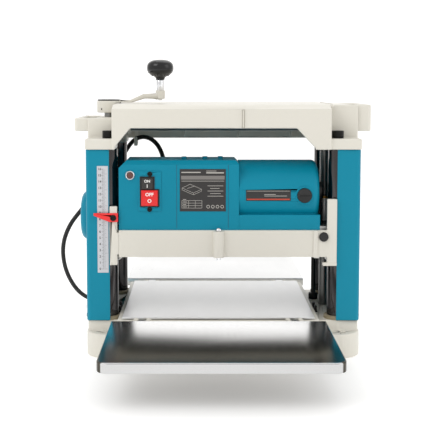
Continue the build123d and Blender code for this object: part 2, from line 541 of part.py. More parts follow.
def switch_housing():
    outline = [
        (HOUSING_FRONT_Y, RAIL_TOP), (HOUSING_FRONT_Y, 306), (HOUSING_FRONT_Y + 6.5, BOX_TOP),
        (-37, BOX_TOP), (HOUSING_BACK_Y, 300), (HOUSING_BACK_Y, DECK_TOP),
        (RAIL_BACK_Y, DECK_TOP), (RAIL_BACK_Y, RAIL_TOP),
    ]
    shape = slab_x(outline, (BOX_LEFT, BOX_RIGHT))
    for sign, x in ((-1, BOX_LEFT), (1, BOX_RIGHT)):
        cut = 12.0 if sign < 0 else 5.5
        inner = x - sign * cut
        corner = [(x, BOX_TOP - cut), (x, BOX_TOP + 1), (inner, BOX_TOP + 1), (inner, BOX_TOP)]
        shape -= slab_y(corner, (HOUSING_FRONT_Y - 1, HOUSING_BACK_Y + 1))
    wall = HOUSING_WALL
    hollow = block(
        (BOX_LEFT + wall, BOX_RIGHT - wall), (HOUSING_FRONT_Y + wall, HOUSING_BACK_Y - wall),
        (DECK_TOP - 1, 297),
    )
    hollow += block((BOX_LEFT + 14, BOX_RIGHT - 8), (HOUSING_FRONT_Y + 8, -40), (296, BOX_TOP - wall))
    shape -= hollow
    for x, y in ((-63, -76), (-29, -72), (-4, -70)):
        shape += rod("Z", (x, y), (BOX_TOP - 1, BOX_TOP + 3.5), 4.0)
    through = (HOUSING_FRONT_Y - 1, HOUSING_FRONT_Y + wall + 1)
    shape -= block((-131, -110.4), through, (240, 287)) + block((-131, -103.2), through, (240, 266.4))
    for x, z in SWITCH_SCREWS:
        shape -= rod("Y", (x, z), through, SMALL_SCREW)
    shape -= rod("X", (MOTOR_Y, MOTOR_Z), (BOX_RIGHT - 5, BOX_RIGHT + 1), 12.0)
    shape -= rod("Y", CORD_EXIT, (HOUSING_BACK_Y - 6, HOUSING_BACK_Y + 1), GUARD_ROOT)
    shape -= rod("Y", (-148, 289), through, 6.0)
    return shape


def motor_housing():
    start = BOX_RIGHT + 0.02
    tube = rod("X", (MOTOR_Y, MOTOR_Z), (start, MOTOR_RIGHT), MOTOR_RADIUS)
    tube = fillet(tube.edges().filter_by(GeomType.CIRCLE).sort_by(Axis.X)[-1], 10.0)
    outline = [
        (HOUSING_FRONT_Y, RAIL_TOP), (HOUSING_FRONT_Y, 225.7), (HOUSING_BACK_Y, 225.7),
        (HOUSING_BACK_Y, DECK_TOP), (-112, DECK_TOP), (-112, RAIL_TOP),
    ]
    band = slab_x(outline, (start, 154))
    bore = MOTOR_RADIUS - HOUSING_WALL - 1
    shape = tube + band - rod("X", (MOTOR_Y, MOTOR_Z), (start - 1, MOTOR_RIGHT - 6), bore)
    shape -= rod("X", (MOTOR_Y, MOTOR_Z), (MOTOR_RIGHT - 11, MOTOR_RIGHT + 1), 8.0)
    return shape - rod("Y", (129, 257), (HOUSING_FRONT_Y - 2, MOTOR_Y - 40), 9.0)


def rating_plate():
    return block((-69, 4), (HOUSING_FRONT_Y - 0.6, HOUSING_FRONT_Y), (231.6, 299))


def badge_plate():
    """A thin plate bent round the front of the motor housing."""
    ring = rod("X", (MOTOR_Y, MOTOR_Z), (36, 107), MOTOR_RADIUS + 0.7)
    ring -= rod("X", (MOTOR_Y, MOTOR_Z), (30, 110), MOTOR_RADIUS + 0.01)
    return ring & block((30, 110), (-125, -100), (248.5, 265.8))


def lamp_bezel():
    ring = rod("Y", (-148, 289), (HOUSING_FRONT_Y - 1.5, HOUSING_FRONT_Y), 8.0)
    return ring - rod("Y", (-148, 289), (-120, -100), 5.5)


def lamp_lens():
    lens = rod("Y", (-148, 289), (HOUSING_FRONT_Y - 0.8, HOUSING_FRONT_Y + 6), 5.5)
    return fillet(lens.edges().filter_by(GeomType.CIRCLE).sort_by(Axis.Y)[0], 0.7)


def switch_plate():
    """A blue raised panel with a black two-part surround for the buttons."""
    front = HOUSING_FRONT_Y
    plate = block((-135, -98.5), (front - 1.2, front), (231.8, 296))
    frame = block((-132.4, -108.9), (front - 3, front), (266, 287.3))
    frame += block((-132.4, -101.3), (front - 3, front), (239, 267.3))
    plate += frame
    plate -= block((-130, -111), (front - 4, front + 1), (266.6, 285.7))
    for x, z in SWITCH_SCREWS:
        plate -= rod("Y", (x, z), (front - 2, front + 1), SMALL_SCREW)
    return plate - block((-130.5, -103.5), (front - 4, front + 1), (240.5, 266))


def button(x, z, proud):
    """A switch button with a stem that reaches through the housing's front wall."""
    cap = block(x, (HOUSING_FRONT_Y - proud, HOUSING_FRONT_Y - 0.2), z)
    cap = fillet(cap.faces().sort_by(Axis.Y)[0].edges(), 1.2)
    middle_x, middle_z = (x[0] + x[1]) / 2, (z[0] + z[1]) / 2
    stem_y = (HOUSING_FRONT_Y - 1, HOUSING_FRONT_Y + 10)
    return cap + block((middle_x - 5, middle_x + 5), stem_y, (middle_z - 6, middle_z + 6))


def brush_caps():
    """The front brush cap with its ring and screwdriver slot, and the bolt cap on the rail."""
    centre = (129, 257)
    cap = rod("Y", centre, (HOUSING_FRONT_Y - 3.5, -108), 8.9)
    cap += rod("Y", centre, (HOUSING_FRONT_Y - 3.5, HOUSING_FRONT_Y - 1.1), 11.5)
    cap -= block((121, 137), (HOUSING_FRONT_Y - 4, HOUSING_FRONT_Y - 2.6), (256.2, 257.8))
    plug = rod("Y", (159.5, 191.5), (RAIL_FRONT_Y - 4, RAIL_FRONT_Y), 7.5)
    return cap, fillet(plug.edges().filter_by(GeomType.CIRCLE).sort_by(Axis.Y)[0], 2.0)


def motor_stator():
    ring = rod("X", (MOTOR_Y, MOTOR_Z), (56, 110), 47.8)
    return ring - rod("X", (MOTOR_Y, MOTOR_Z), (50, 120), 26.0)


def armature():
    """Shaft, laminated core, commutator, fan and the grooved belt pulley."""
    def at(span, radius):
        return rod("X", (MOTOR_Y, MOTOR_Z), span, radius)

    shape = at((20, BELT_X[1]), 5.0) + at((58, 108), 25.0) + at((119, 137), 12.0) + at((34, 37), 40.0)
    for i in range(12):
        blade = block((36, 46), (MOTOR_Y + 12, MOTOR_Y + 39), (MOTOR_Z - 0.8, MOTOR_Z + 0.8))
        shape += Pos(0, MOTOR_Y, MOTOR_Z) * Rot(i * 30, 0, 0) * Pos(0, -MOTOR_Y, -MOTOR_Z) * blade
    shape += at(BELT_X, MOTOR_PULLEY_RADIUS)
    for i in range(10):
        slot = block((57, 109), (MOTOR_Y + 21.5, MOTOR_Y + 26), (MOTOR_Z - 1.5, MOTOR_Z + 1.5))
        shape -= Pos(0, MOTOR_Y, MOTOR_Z) * Rot(i * 36, 0, 0) * Pos(0, -MOTOR_Y, -MOTOR_Z) * slot
    return shape


def carbon_brushes():
    return [
        block((124, 134), y, (MOTOR_Z - 4, MOTOR_Z + 4))
        for y in ((MOTOR_Y - 26, MOTOR_Y - 12.2), (MOTOR_Y + 12.2, MOTOR_Y + 26))
    ]


def hull_x(first, second, x):
    """Two circles of (Y, Z, radius) and all that lies between them, drawn out along X."""
    distance = math.hypot(second[0] - first[0], second[1] - first[1])
    along = math.atan2(second[1] - first[1], second[0] - first[0])
    lean = math.acos((first[2] - second[2]) / distance)
    corners = []
    for (y, z, radius), signs in ((first, (1, -1)), (second, (-1, 1))):
        for sign in signs:
            angle = along + sign * lean
            corners.append((y + radius * math.cos(angle), z + radius * math.sin(angle)))
    shape = slab_x(corners, x)
    for y, z, radius in (first, second):
        shape += rod("X", (y, z), x, radius)
    return shape


def loop_x(first, second, x, thickness):
    """A band round two circles of (Y, Z, radius), as a belt or chain lies on its wheels."""
    outer = [(y, z, radius + thickness) for y, z, radius in (first, second)]
    return hull_x(*outer, x) - hull_x(first, second, x)


def belt_outline(x, margin):
    """The space that the belt and its pulleys take, with a margin round them."""
    motor = (MOTOR_Y, MOTOR_Z, MOTOR_PULLEY_RADIUS + margin)
    return hull_x(motor, (0.0, DRUM_Z, DRUM_PULLEY_RADIUS + margin), x)


def drive_belt():
    clearance = 0.3
    top = (MOTOR_Y, MOTOR_Z, MOTOR_PULLEY_RADIUS + clearance)
    bottom = (0.0, DRUM_Z, DRUM_PULLEY_RADIUS + clearance)
    return loop_x(top, bottom, BELT_X, 2.0)


def belt_cover():
    """A thin black cup over the belt, open towards the head's end wall."""
    inside = belt_outline((BELT_COVER_X[0] - 1, BELT_COVER_X[1] - 1.5), 3.5)
    return belt_outline(BELT_COVER_X, 5.0) - inside


def feed_chain():
    clearance, tip = 0.3, sprocket_radius() + 1.0
    front = (-ROLLER_Y, ROLLER_Z, tip + clearance)
    rear = (ROLLER_Y, ROLLER_Z, tip + clearance)
    return loop_x(front, rear, CHAIN_X, 2.0)


def sprocket_radius():
    return CHAIN_PITCH / (2 * math.sin(math.pi / SPROCKET_TEETH))


def feed_roller(y):
    """A rubber-covered roller on a steel shaft, with its sprocket at the left end."""
    roller = rod("X", (y, ROLLER_Z), (HEAD_LEFT + 2, HEAD_RIGHT - 2), ROLLER_RADIUS)
    roller += rod("X", (y, ROLLER_Z), (CHAIN_X[0], HEAD_RIGHT + 7), 5.0)
    sprocket = rod("X", (y, ROLLER_Z), CHAIN_X, sprocket_radius() + 1.0)
    for i in range(SPROCKET_TEETH):
        angle = math.radians(i * 360 / SPROCKET_TEETH)
        centre = (y + sprocket_radius() * math.cos(angle), ROLLER_Z + sprocket_radius() * math.sin(angle))
        sprocket -= rod("X", centre, (CHAIN_X[0] - 1, CHAIN_X[1] + 1), 1.9)
    return roller + sprocket


def roller_blocks():
    """Sliding bearing blocks of the two feed rollers, each with its pressure spring above."""
    pieces = []
    for y in (-ROLLER_Y, ROLLER_Y):
        for x in ((HEAD_LEFT - 8, HEAD_LEFT), (HEAD_RIGHT, HEAD_RIGHT + 8)):
            bearing = block(x, (y - 8.8, y + 8.8), (ROLLER_Z - 9, ROLLER_Z + 9))
            pieces.append(bearing - rod("X", (y, ROLLER_Z), (x[0] - 1, x[1] + 1), 5.0 + RUNNING_FIT))
            middle = ((x[0] + x[1]) / 2, y)
            spring = rod("Z", middle, (ROLLER_Z + 9, ROLLER_Z + 21.9), 3.6)
            pieces.append(spring - rod("Z", middle, (ROLLER_Z + 9, ROLLER_Z + 23), 2.4))
    return pieces


def drum_bearings():
    rings = []
    for x in ((HEAD_LEFT - 8, HEAD_LEFT), (HEAD_RIGHT, HEAD_RIGHT + 8)):
        bore = rod("X", (0, DRUM_Z), (x[0] - 1, x[1] + 1), 7.0 + RUNNING_FIT)
        rings.append(rod("X", (0, DRUM_Z), x, 14.0) - bore)
    return rings


DRUM_SPAN = (HEAD_LEFT + 1, HEAD_RIGHT - 1)


def about_drum(shape, angle):
    return Pos(0, 0, DRUM_Z) * Rot(angle, 0, 0) * Pos(0, 0, -DRUM_Z) * shape


def cutter_drum():
    drum = rod("X", (0, DRUM_Z), DRUM_SPAN, DRUM_RADIUS)
    drum += rod("X", (0, DRUM_Z), (HEAD_LEFT - 9, BELT_X[1]), 7.0)
    drum += rod("X", (0, DRUM_Z), BELT_X, DRUM_PULLEY_RADIUS)
    seat = block((DRUM_SPAN[0] - 1, DRUM_SPAN[1] + 1), (-6, 20), (DRUM_Z + 12, DRUM_Z + 30))
    for angle in (0, 180):
        drum -= about_drum(seat, angle)
    return drum


def planer_knives():
    knife_x = (WORK_X - TABLE_HALF_WIDTH, WORK_X + TABLE_HALF_WIDTH)
    edge = math.sqrt(CUTTING_RADIUS**2 - 12**2)
    outline = [(-6, DRUM_Z + 12), (-6, DRUM_Z + 14.5), (edge - 2.6, DRUM_Z + 14.5), (edge, DRUM_Z + 12)]
    knife = slab_x(outline, knife_x)
    return [about_drum(knife, angle) for angle in (0, 180)]


def set_plates():
    """Clamp plates over the knives with their rows of bolts."""
    plate_x = (DRUM_SPAN[0] + 3, DRUM_SPAN[1] - 3)
    plate = block(plate_x, (-6, 8), (DRUM_Z + 14.5, DRUM_Z + 17.5))
    count = 6
    for i in range(count):
        x = plate_x[0] + 20 + i * (plate_x[1] - plate_x[0] - 40) / (count - 1)
        plate += rod("Z", (x, 1), (DRUM_Z + 17, DRUM_Z + 20.0), 4.5)
    return [about_drum(plate, angle) for angle in (0, 180)]


def chip_cover():
    """The hood behind the drum that throws the chips out of its rear mouth."""
    outline = [(24, DECK_TOP), (24, 236), (50, 250), (112, 244), (112, DECK_TOP)]
    inside = [
        (26.5, DECK_TOP - 1), (26.5, 234.5), (50.5, 247.2),
        (113, 241), (113, 211), (98, DECK_TOP - 1),
    ]
    return slab_x(outline, (-152, 140)) - slab_x(inside, (-149, 137))


# ---- mains cord ----
# The cord leaves the guard behind the switch housing, rises to the hook, hangs outside the left
# cover and lies on the floor behind the machine, with the unused length coiled under the table.
LEAD_ROUTE = [
    (-100, 14, 276), (-100, 46, 281), (-102, 67, 304), (-114, 84, 328), (-135, 100, 340),
    (-158, 114, 334), (-175, 121, 310), (-188, 122, 287),
]
DROP_ROUTE = [
    (-188, 122, 287), (-201, 123, 264), (-228, 124, 236), (-256, 126, 203), (-281, 132, 172),
    (-297, 148, 130), (-295, 172, 78), (-275, 203, 29), (-243, 231, 4.6), (-201, 243, 4),
    (-166, 237, 4), (-138, 220, 4),
]
PLUG_ROUTE = [(-82, 206.4, 4), (-44, 201, 4), (-8, 212, 6), (20, 234, 13), (48, 256, 17)]
PLUG_START, PLUG_HEADING = PLUG_ROUTE[-1], 38.0


def corner_radii(route):
    """The largest arc at each inner point that both of its runs leave room for."""
    radii = []
    for before, here, after in zip(route, route[1:], route[2:]):
        back, ahead = Vector(*before) - Vector(*here), Vector(*after) - Vector(*here)
        turn = math.radians(180 - back.get_angle(ahead))
        radii.append(0.45 * min(back.length, ahead.length) / math.tan(turn / 2))
    return radii


def cord_tube(node, route):
    radii = corner_radii(route)
    path = FilletPolyline(*route, radius=radii)
    start = Plane(origin=path @ 0, z_dir=path % 0)
    tube = sweep(start * Circle(CORD_RADIUS), path=path)
    expected = math.pi * CORD_RADIUS**2 * path.length
    print(node, "radii", [round(r) for r in radii], "length", round(path.length, 1),
          "volume over section times length", round(tube.volume / expected, 4))
    return tube


def cord_coil():
    x, y = COIL_CENTRE
    middle = rod("Z", (x, y), (-1, COIL_HEIGHT + 1), COIL_INNER)
    ring = rod("Z", (x, y), (0, COIL_HEIGHT), COIL_OUTER) - middle
    return ring


def cord_guard():
    """The tapered strain relief that stands out of the switch housing's back wall."""
    x, z = CORD_EXIT
    length = GUARD_TIP_Y - HOUSING_BACK_Y
    cone = Pos(x, HOUSING_BACK_Y + length / 2, z) * Rot(-90, 0, 0) * Cone(7.5, 5.2, length)
    root = rod("Y", CORD_EXIT, (HOUSING_BACK_Y - 4, HOUSING_BACK_Y), GUARD_ROOT)
    return cone + root


def plug_pose(shape):
    return Pos(*PLUG_START) * Rot(0, 0, PLUG_HEADING) * shape


def plug():
    """A moulded two-pin plug lying on its side, along +X before it is turned."""
    grip = Pos(13, 0, 0) * Rot(0, 90, 0) * Cone(6.0, 13.0, 26)
    head = Pos(26 + 8, 0, 0) * Rot(0, 90, 0) * Cylinder(PLUG_RADIUS - 0.5, 16)
    head = fillet(head.edges().filter_by(GeomType.CIRCLE), 2.0)
    return plug_pose(grip + head)


def plug_pins():
    pins = [Pos(PLUG_LENGTH + 9.5, side * 9.5, 0) * Rot(0, 90, 0) * Cylinder(2.4, 19) for side in (-1, 1)]
    return [plug_pose(pin) for pin in pins]


# ---- every node ----
save("base_casting", base_casting())
save("main_table", main_table())
save("side_stops", *side_stops())
save("front_table", wing_table(-1))
save("rear_table", wing_table(1))
save("hinge_pins", *hinge_pins())
save("columns", *columns())
save("column_screws", *column_screws())
save("side_cover_left", side_cover(-1))
save("side_cover_right", side_cover(1))
save("scale_plate", scale_plate())
save("upper_frame", upper_frame())
save("cord_hook", cord_hook())
save("stop_rod", stop_rod())
save("bevel_gear_left", screw_gear(SCREW_LEFT_X))
save("bevel_gear_right", screw_gear(SCREW_RIGHT_X))
save("cross_shaft", cross_shaft())
save("lead_screw_left", lead_screw(SCREW_LEFT_X, 402.0))
save("lead_screw_right", lead_screw(SCREW_RIGHT_X, 396.0))
save("crank_arm", crank_arm())
save("crank_spindle", crank_spindle())
save("crank_knob", crank_knob())
save("head_casting", head_casting())
save("front_rail", front_rail())
save("gauge_pin", gauge_pin())
save("head_brackets", *head_brackets())
save("pointer", pointer())
save("small_screws", *small_screws())
save("lift_nuts", *lift_nuts())
save("column_bushes", *column_bushes())
save("switch_housing", switch_housing())
save("motor_housing", motor_housing())
save("rating_plate", rating_plate())
save("badge_plate", badge_plate())
save("lamp_bezel", lamp_bezel())
save("lamp_lens", lamp_lens())
save("switch_plate", switch_plate())
save("on_button", button((-129.7, -111.3), (266.9, 285.4), 5.0))
save("off_button", button((-130.2, -103.8), (240.8, 265.7), 6.0))
save("brush_caps", *brush_caps())
save("motor_stator", motor_stator())
save("armature", armature())
save("carbon_brushes", *carbon_brushes())
save("drive_belt", drive_belt())
save("belt_cover", belt_cover())
save("feed_chain", feed_chain())
save("infeed_roller", feed_roller(-ROLLER_Y))
save("outfeed_roller", feed_roller(ROLLER_Y))
save("roller_blocks", *roller_blocks())
save("drum_bearings", *drum_bearings())
save("cutter_drum", cutter_drum())
save("planer_knives", *planer_knives())
save("set_plates", *set_plates())
save("chip_cover", chip_cover())
save("cord_guard", cord_guard())
save("cord_lead", cord_tube("cord_lead", LEAD_ROUTE))
save("cord_drop", cord_tube("cord_drop", DROP_ROUTE), cord_tube("plug_tail", PLUG_ROUTE))
save("cord_coil", cord_coil())
save("plug", plug())
save("plug_pins", *plug_pins())
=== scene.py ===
"""A portable thickness planer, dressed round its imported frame.

Every piece is in metres in the frame's own axes: X to the right along the working width,
Y along the feed, Z up from the surface that the machine stands on.
"""

from __future__ import annotations

import json
import logging
import math
from dataclasses import dataclass
from enum import Enum
from typing import Any, Optional, Sequence, Union

import bmesh
import bpy
from mathutils import Matrix, Vector

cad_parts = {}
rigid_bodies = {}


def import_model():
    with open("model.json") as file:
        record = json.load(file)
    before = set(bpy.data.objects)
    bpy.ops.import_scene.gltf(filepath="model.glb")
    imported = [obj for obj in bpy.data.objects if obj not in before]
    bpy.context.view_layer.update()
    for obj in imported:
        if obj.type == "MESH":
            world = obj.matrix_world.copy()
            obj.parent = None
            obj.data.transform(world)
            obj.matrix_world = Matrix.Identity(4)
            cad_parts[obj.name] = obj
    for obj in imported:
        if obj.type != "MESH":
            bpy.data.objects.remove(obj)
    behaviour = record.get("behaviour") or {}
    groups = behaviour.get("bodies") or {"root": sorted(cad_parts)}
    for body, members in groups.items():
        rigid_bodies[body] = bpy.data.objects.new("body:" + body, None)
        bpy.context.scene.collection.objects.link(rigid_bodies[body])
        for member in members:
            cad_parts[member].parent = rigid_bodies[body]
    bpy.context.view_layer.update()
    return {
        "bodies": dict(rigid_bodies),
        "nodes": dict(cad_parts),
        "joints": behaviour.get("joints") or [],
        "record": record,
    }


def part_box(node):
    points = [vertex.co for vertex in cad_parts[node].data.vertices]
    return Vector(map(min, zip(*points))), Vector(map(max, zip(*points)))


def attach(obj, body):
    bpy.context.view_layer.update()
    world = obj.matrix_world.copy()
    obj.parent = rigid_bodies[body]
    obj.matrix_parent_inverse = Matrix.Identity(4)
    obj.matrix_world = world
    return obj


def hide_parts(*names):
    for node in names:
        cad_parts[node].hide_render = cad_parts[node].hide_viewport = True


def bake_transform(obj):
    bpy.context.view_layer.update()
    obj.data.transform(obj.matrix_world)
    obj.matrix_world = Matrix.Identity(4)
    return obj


log = logging.getLogger("planer")
MM = 0.001
Point = tuple[float, float, float]
Value = Union["Signal", float, int, Sequence[float]]


# ---------------------------------------------------------------- colours


class Colour(Enum):
    """The colours of the machine's finishes, as they look in even daylight; two paint dark
    reflections.
    """

    CREAM = "#DAD6CB"
    BLUE = "#00849E"
    BLUE_DEEP = "#045A70"
    SHEET = "#F0F0F0"
    # Painted reflection: the dark end of the front table's sheet.
    BURNT = "#464239"
    SOOT = "#0B0B0C"
    CHROME = "#E6E6E8"
    # A dark chrome whose colour paints the dark reflection on the columns.
    DARK_CHROME = "#4A4848"
    STEEL = "#8E8E8C"
    ALLOY = "#A5A39B"
    BRONZE = "#9A7336"
    BLACK = "#121212"
    OXIDE = "#171614"
    RUBBER = "#101010"
    RED = "#E01010"
    RED_PAINT = "#EE1414"
    GREY_BUTTON = "#2B2826"
    PLATE = "#2A2726"
    PLATE_MARK = "#B9B5AE"
    PLATE_BAND = "#7C7874"
    SCALE = "#C9CACE"
    SCALE_MARK = "#3A3636"
    STRIPE = "#C8452C"
    LENS = "#5B2A20"
    IVORY = "#E9E6DD"
    COPPER = "#8A4A26"
    GRAPHITE = "#1B1B1D"
    BRASS = "#C9A860"
    WHITE = "#F2F0EC"
    FOOT = "#8C8168"
    FLOOR = "#F4F4F4"

    def linear(self) -> tuple[float, float, float, float]:
        """The colour as scene-linear red, green, blue and alpha."""
        parts = [int(self.value[i:i + 2], 16) / 255 for i in (1, 3, 5)]
        low = 0.04045
        red, green, blue = (c / 12.92 if c <= low else ((c + 0.055) / 1.055) ** 2.4 for c in parts)
        return red, green, blue, 1.0

    def shade(self, amount: float) -> tuple[float, float, float, float]:
        """The colour made lighter or darker by a factor.

        Args:
            amount: what each channel is multiplied by.

        Returns:
            The scene-linear colour.
        """
        red, green, blue, alpha = self.linear()
        return min(red * amount, 1.0), min(green * amount, 1.0), min(blue * amount, 1.0), alpha


# ---------------------------------------------------------------- shader expressions


class Signal:
    """A shader value that can be written in Python expressions."""

    def __init__(self, graph: "Graph", socket: bpy.types.NodeSocket) -> None:
        """Keeps the socket and the graph that it belongs to."""
        self.graph = graph
        self.socket = socket

    def _combine(self, operation: str, first: Value, second: Value) -> "Signal":
        """One Math node on two values."""
        return self.graph.node("ShaderNodeMath", {"operation": operation}, {0: first, 1: second})

    def __add__(self, other: Value) -> "Signal":
        """This value plus another."""
        return self._combine("ADD", self, other)

    def __mul__(self, other: Value) -> "Signal":
        """This value times another."""
        return self._combine("MULTIPLY", self, other)

    def __pow__(self, other: Value) -> "Signal":
        """This value raised to a power."""
        return self._combine("POWER", self, other)


class Graph:
    """The node tree of one material."""

    def __init__(self, name: str) -> None:
        """Makes an empty material with a Principled surface.

        Args:
            name: the material's name.
        """
        self.material = bpy.data.materials.new(name)
        self.material.use_nodes = True
        self.tree = self.material.node_tree
        self.tree.nodes.clear()
        self.surface = self.tree.nodes.new("ShaderNodeBsdfPrincipled")
        output = self.tree.nodes.new("ShaderNodeOutputMaterial")
        self.tree.links.new(self.surface.outputs[0], output.inputs[0])

    def feed(self, socket: bpy.types.NodeSocket, value: Value) -> None:
        """Links a signal to a socket, or sets a plain value on it."""
        if isinstance(value, Signal):
            self.tree.links.new(value.socket, socket)
        else:
            socket.default_value = value

    def node(
        self,
        kind: str,
        settings: Optional[dict[str, Any]] = None,
        inputs: Optional[dict[Union[str, int], Value]] = None,
        output: Union[str, int] = 0,
    ) -> Signal:
        """Adds a node of any type.

        Args:
            kind: the node's type.
            settings: its properties by name.
            inputs: values or signals by socket name or number.
            output: the socket that the result reads.

        Returns:
            The chosen output.
        """
        made = self.tree.nodes.new(kind)
        for key, value in (settings or {}).items():
            setattr(made, key, value)
        for key, value in (inputs or {}).items():
            self.feed(made.inputs[key], value)
        return Signal(self, made.outputs[output])

    def place(self, stretch: Point = (1.0, 1.0, 1.0)) -> Signal:
        """Object coordinates, stretched along each axis."""
        spot = self.node("ShaderNodeTexCoord", output="Object")
        return self.node("ShaderNodeMapping", {}, {"Vector": spot, "Scale": stretch})

    def noise(self, scale: float, detail: float = 3.0, stretch: Point = (1.0, 1.0, 1.0)) -> Signal:
        """Smooth noise from 0 to 1 with about scale bumps in a metre."""
        inputs = {
            "Vector": self.place(stretch), "Scale": scale, "Detail": detail, "Roughness": 0.55,
        }
        return self.node("ShaderNodeTexNoise", {}, inputs)

    def spread(self, value: Value, low: float, high: float) -> Signal:
        """A value from 0 to 1 brought to lie between low and high."""
        inputs = {"Value": value, "To Min": low, "To Max": high}
        return self.node("ShaderNodeMapRange", {}, inputs)

    def ramp(self, value: Value, start: tuple[float, float], end: tuple[float, float]) -> Signal:
        """A soft step of a value from one range to another."""
        inputs = {"Value": value, "From Min": start[0], "From Max": start[1]}
        inputs |= {"To Min": end[0], "To Max": end[1]}
        return self.node("ShaderNodeMapRange", {"interpolation_type": "SMOOTHSTEP"}, inputs)

    def blend(self, factor: Value, first: Value, second: Value) -> Signal:
        """A mix of two colours."""
        inputs = {0: factor, 6: first, 7: second}
        return self.node("ShaderNodeMix", {"data_type": "RGBA"}, inputs, output=2)

    def bump(self, height: Value, strength: float, depth: float) -> Signal:
        """A normal from a height; depth is in metres."""
        inputs = {"Height": height, "Strength": strength, "Distance": depth}
        return self.node("ShaderNodeBump", {}, inputs)

    def finish(self, inputs: dict[str, Value]) -> bpy.types.Material:
        """Feeds the surface's sockets and gives the material."""
        for key, value in inputs.items():
            self.feed(self.surface.inputs[key], value)
        return self.material


# ---------------------------------------------------------------- finishes


@dataclass(frozen=True)
class Finish:
    """A finish with a mottled colour, a range of roughness and a fine surface texture."""

    name: str
    colour: Colour
    roughness: tuple[float, float] = (0.35, 0.5)
    metallic: float = 0.0
    mottle: float = 0.06
    patch_scale: float = 14.0
    grain_scale: float = 900.0
    grain: float = 0.08
    grain_depth: float = 0.0002
    stretch: Point = (1.0, 1.0, 1.0)
    coat: float = 0.0
    specular: float = 0.5
    dirt: float = 0.0
    glow: float = 0.0

    def material(self) -> bpy.types.Material:
        """The finish's material, made once."""
        known = bpy.data.materials.get(self.name)
        return known or self.build()

    def build(self) -> bpy.types.Material:
        """Makes the material.

        Returns:
            A material whose colour and roughness drift in soft patches over a fine grain.
        """
        graph = Graph(self.name)
        patches = graph.noise(self.patch_scale, 4.0, self.stretch)
        grain = graph.noise(self.grain_scale, 2.0, self.stretch)
        colour = graph.blend(
            patches, self.colour.shade(1 - self.mottle), self.colour.shade(1 + self.mottle)
        )
        if self.dirt:
            specks = graph.noise(self.patch_scale * 9, 6.0)
            mask = graph.spread(specks ** 6.0, 0.0, self.dirt)
            colour = graph.blend(mask, colour, self.colour.shade(0.55))
        drift = patches * 0.7 + grain * 0.3
        return graph.finish({
            "Base Color": colour,
            "Roughness": graph.spread(drift, *self.roughness),
            "Metallic": self.metallic,
            "Specular IOR Level": self.specular,
            "Coat Weight": self.coat,
            "Coat Roughness": 0.12,
            "Emission Color": Colour.WHITE.shade(1.0),
            "Emission Strength": self.glow,
            "Normal": graph.bump(grain, self.grain, self.grain_depth),
        })


@dataclass(frozen=True)
class CastPaint(Finish):
    """Stoved paint on a casting: an orange-peel skin with a faint dusting in its patches."""

    def build(self) -> bpy.types.Material:
        """Adds the broad waves of the cast wall below the paint's fine skin."""
        graph = Graph(self.name)
        patches = graph.noise(self.patch_scale, 5.0)
        peel = graph.noise(self.grain_scale, 2.0)
        wall = graph.noise(60.0, 2.0)
        colour = graph.blend(
            patches, self.colour.shade(1 - self.mottle), self.colour.shade(1 + self.mottle)
        )
        dust = graph.spread(graph.noise(180.0, 8.0) ** 7.0, 0.0, self.dirt)
        colour = graph.blend(dust, colour, Colour.ALLOY.shade(0.7))
        return graph.finish({
            "Base Color": colour,
            "Roughness": graph.spread(patches * 0.6 + peel * 0.4, *self.roughness),
            "Specular IOR Level": self.specular,
            "Coat Weight": self.coat,
            "Coat Roughness": 0.2,
            "Normal": graph.bump(peel * 0.6 + wall * 1.4, self.grain, self.grain_depth),
        })


@dataclass(frozen=True)
class RolledSheet(Finish):
    """Polished sheet with the fine drawn lines of the roll along Y and small scuffs."""

    def build(self) -> bpy.types.Material:
        """Lines in roughness and bump, and a few broader scuffs."""
        graph = Graph(self.name)
        lines = graph.noise(700.0, 4.0, (1.0, 0.02, 1.0))
        scuffs = graph.noise(38.0, 6.0, (1.0, 0.35, 1.0))
        grit = graph.noise(1400.0, 2.0)
        colour = graph.blend(scuffs, self.colour.shade(0.93), self.colour.shade(1.05))
        rough = graph.spread(lines * 0.5 + scuffs * 0.35 + grit * 0.15, *self.roughness)
        return graph.finish({
            "Base Color": colour,
            "Metallic": self.metallic,
            "Roughness": rough,
            "Normal": graph.bump(lines * 0.7 + grit * 0.3, self.grain, self.grain_depth),
        })


@dataclass(frozen=True)
class BurnishedSheet(Finish):
    """Polished sheet with a painted dark reflection toward its outer end; its rim is painted
    shade.
    """

    # Where the painted reflection is darkest and where it fades out, along Y.
    dark_end: float = -0.335
    light_end: float = -0.185
    rim: float = -0.381
    rim_blur: float = 0.0015
    # The rim's painted shade, as a factor on the sheet's colour.
    rim_tone: float = 0.66

    def build(self) -> bpy.types.Material:
        """The painted reflection darkens along Y; the rim gets a lighter painted shade of its own.
        """
        graph = Graph(self.name)
        lines = graph.noise(700.0, 4.0, (1.0, 0.02, 1.0))
        grit = graph.noise(900.0, 3.0)
        along = graph.node("ShaderNodeSeparateXYZ", {}, {"Vector": graph.place()}, output="Y")
        # Painted reflection along Y and painted shade on the rim, both drawn into the colour.
        light = graph.ramp(along, (self.dark_end, self.light_end), (0.0, 1.0))
        edge = graph.ramp(along, (self.rim - self.rim_blur, self.rim), (1.0, 0.0))
        tone = graph.blend(light, Colour.BURNT.shade(1.0), self.colour.shade(1.0))
        tone = graph.blend(edge, tone, self.colour.shade(self.rim_tone))
        return graph.finish({
            "Base Color": tone,
            "Metallic": self.metallic,
            "Roughness": graph.spread(lines * 0.6 + grit * 0.4, *self.roughness),
            "Normal": graph.bump(lines * 0.7 + grit * 0.3, self.grain, self.grain_depth),
        })


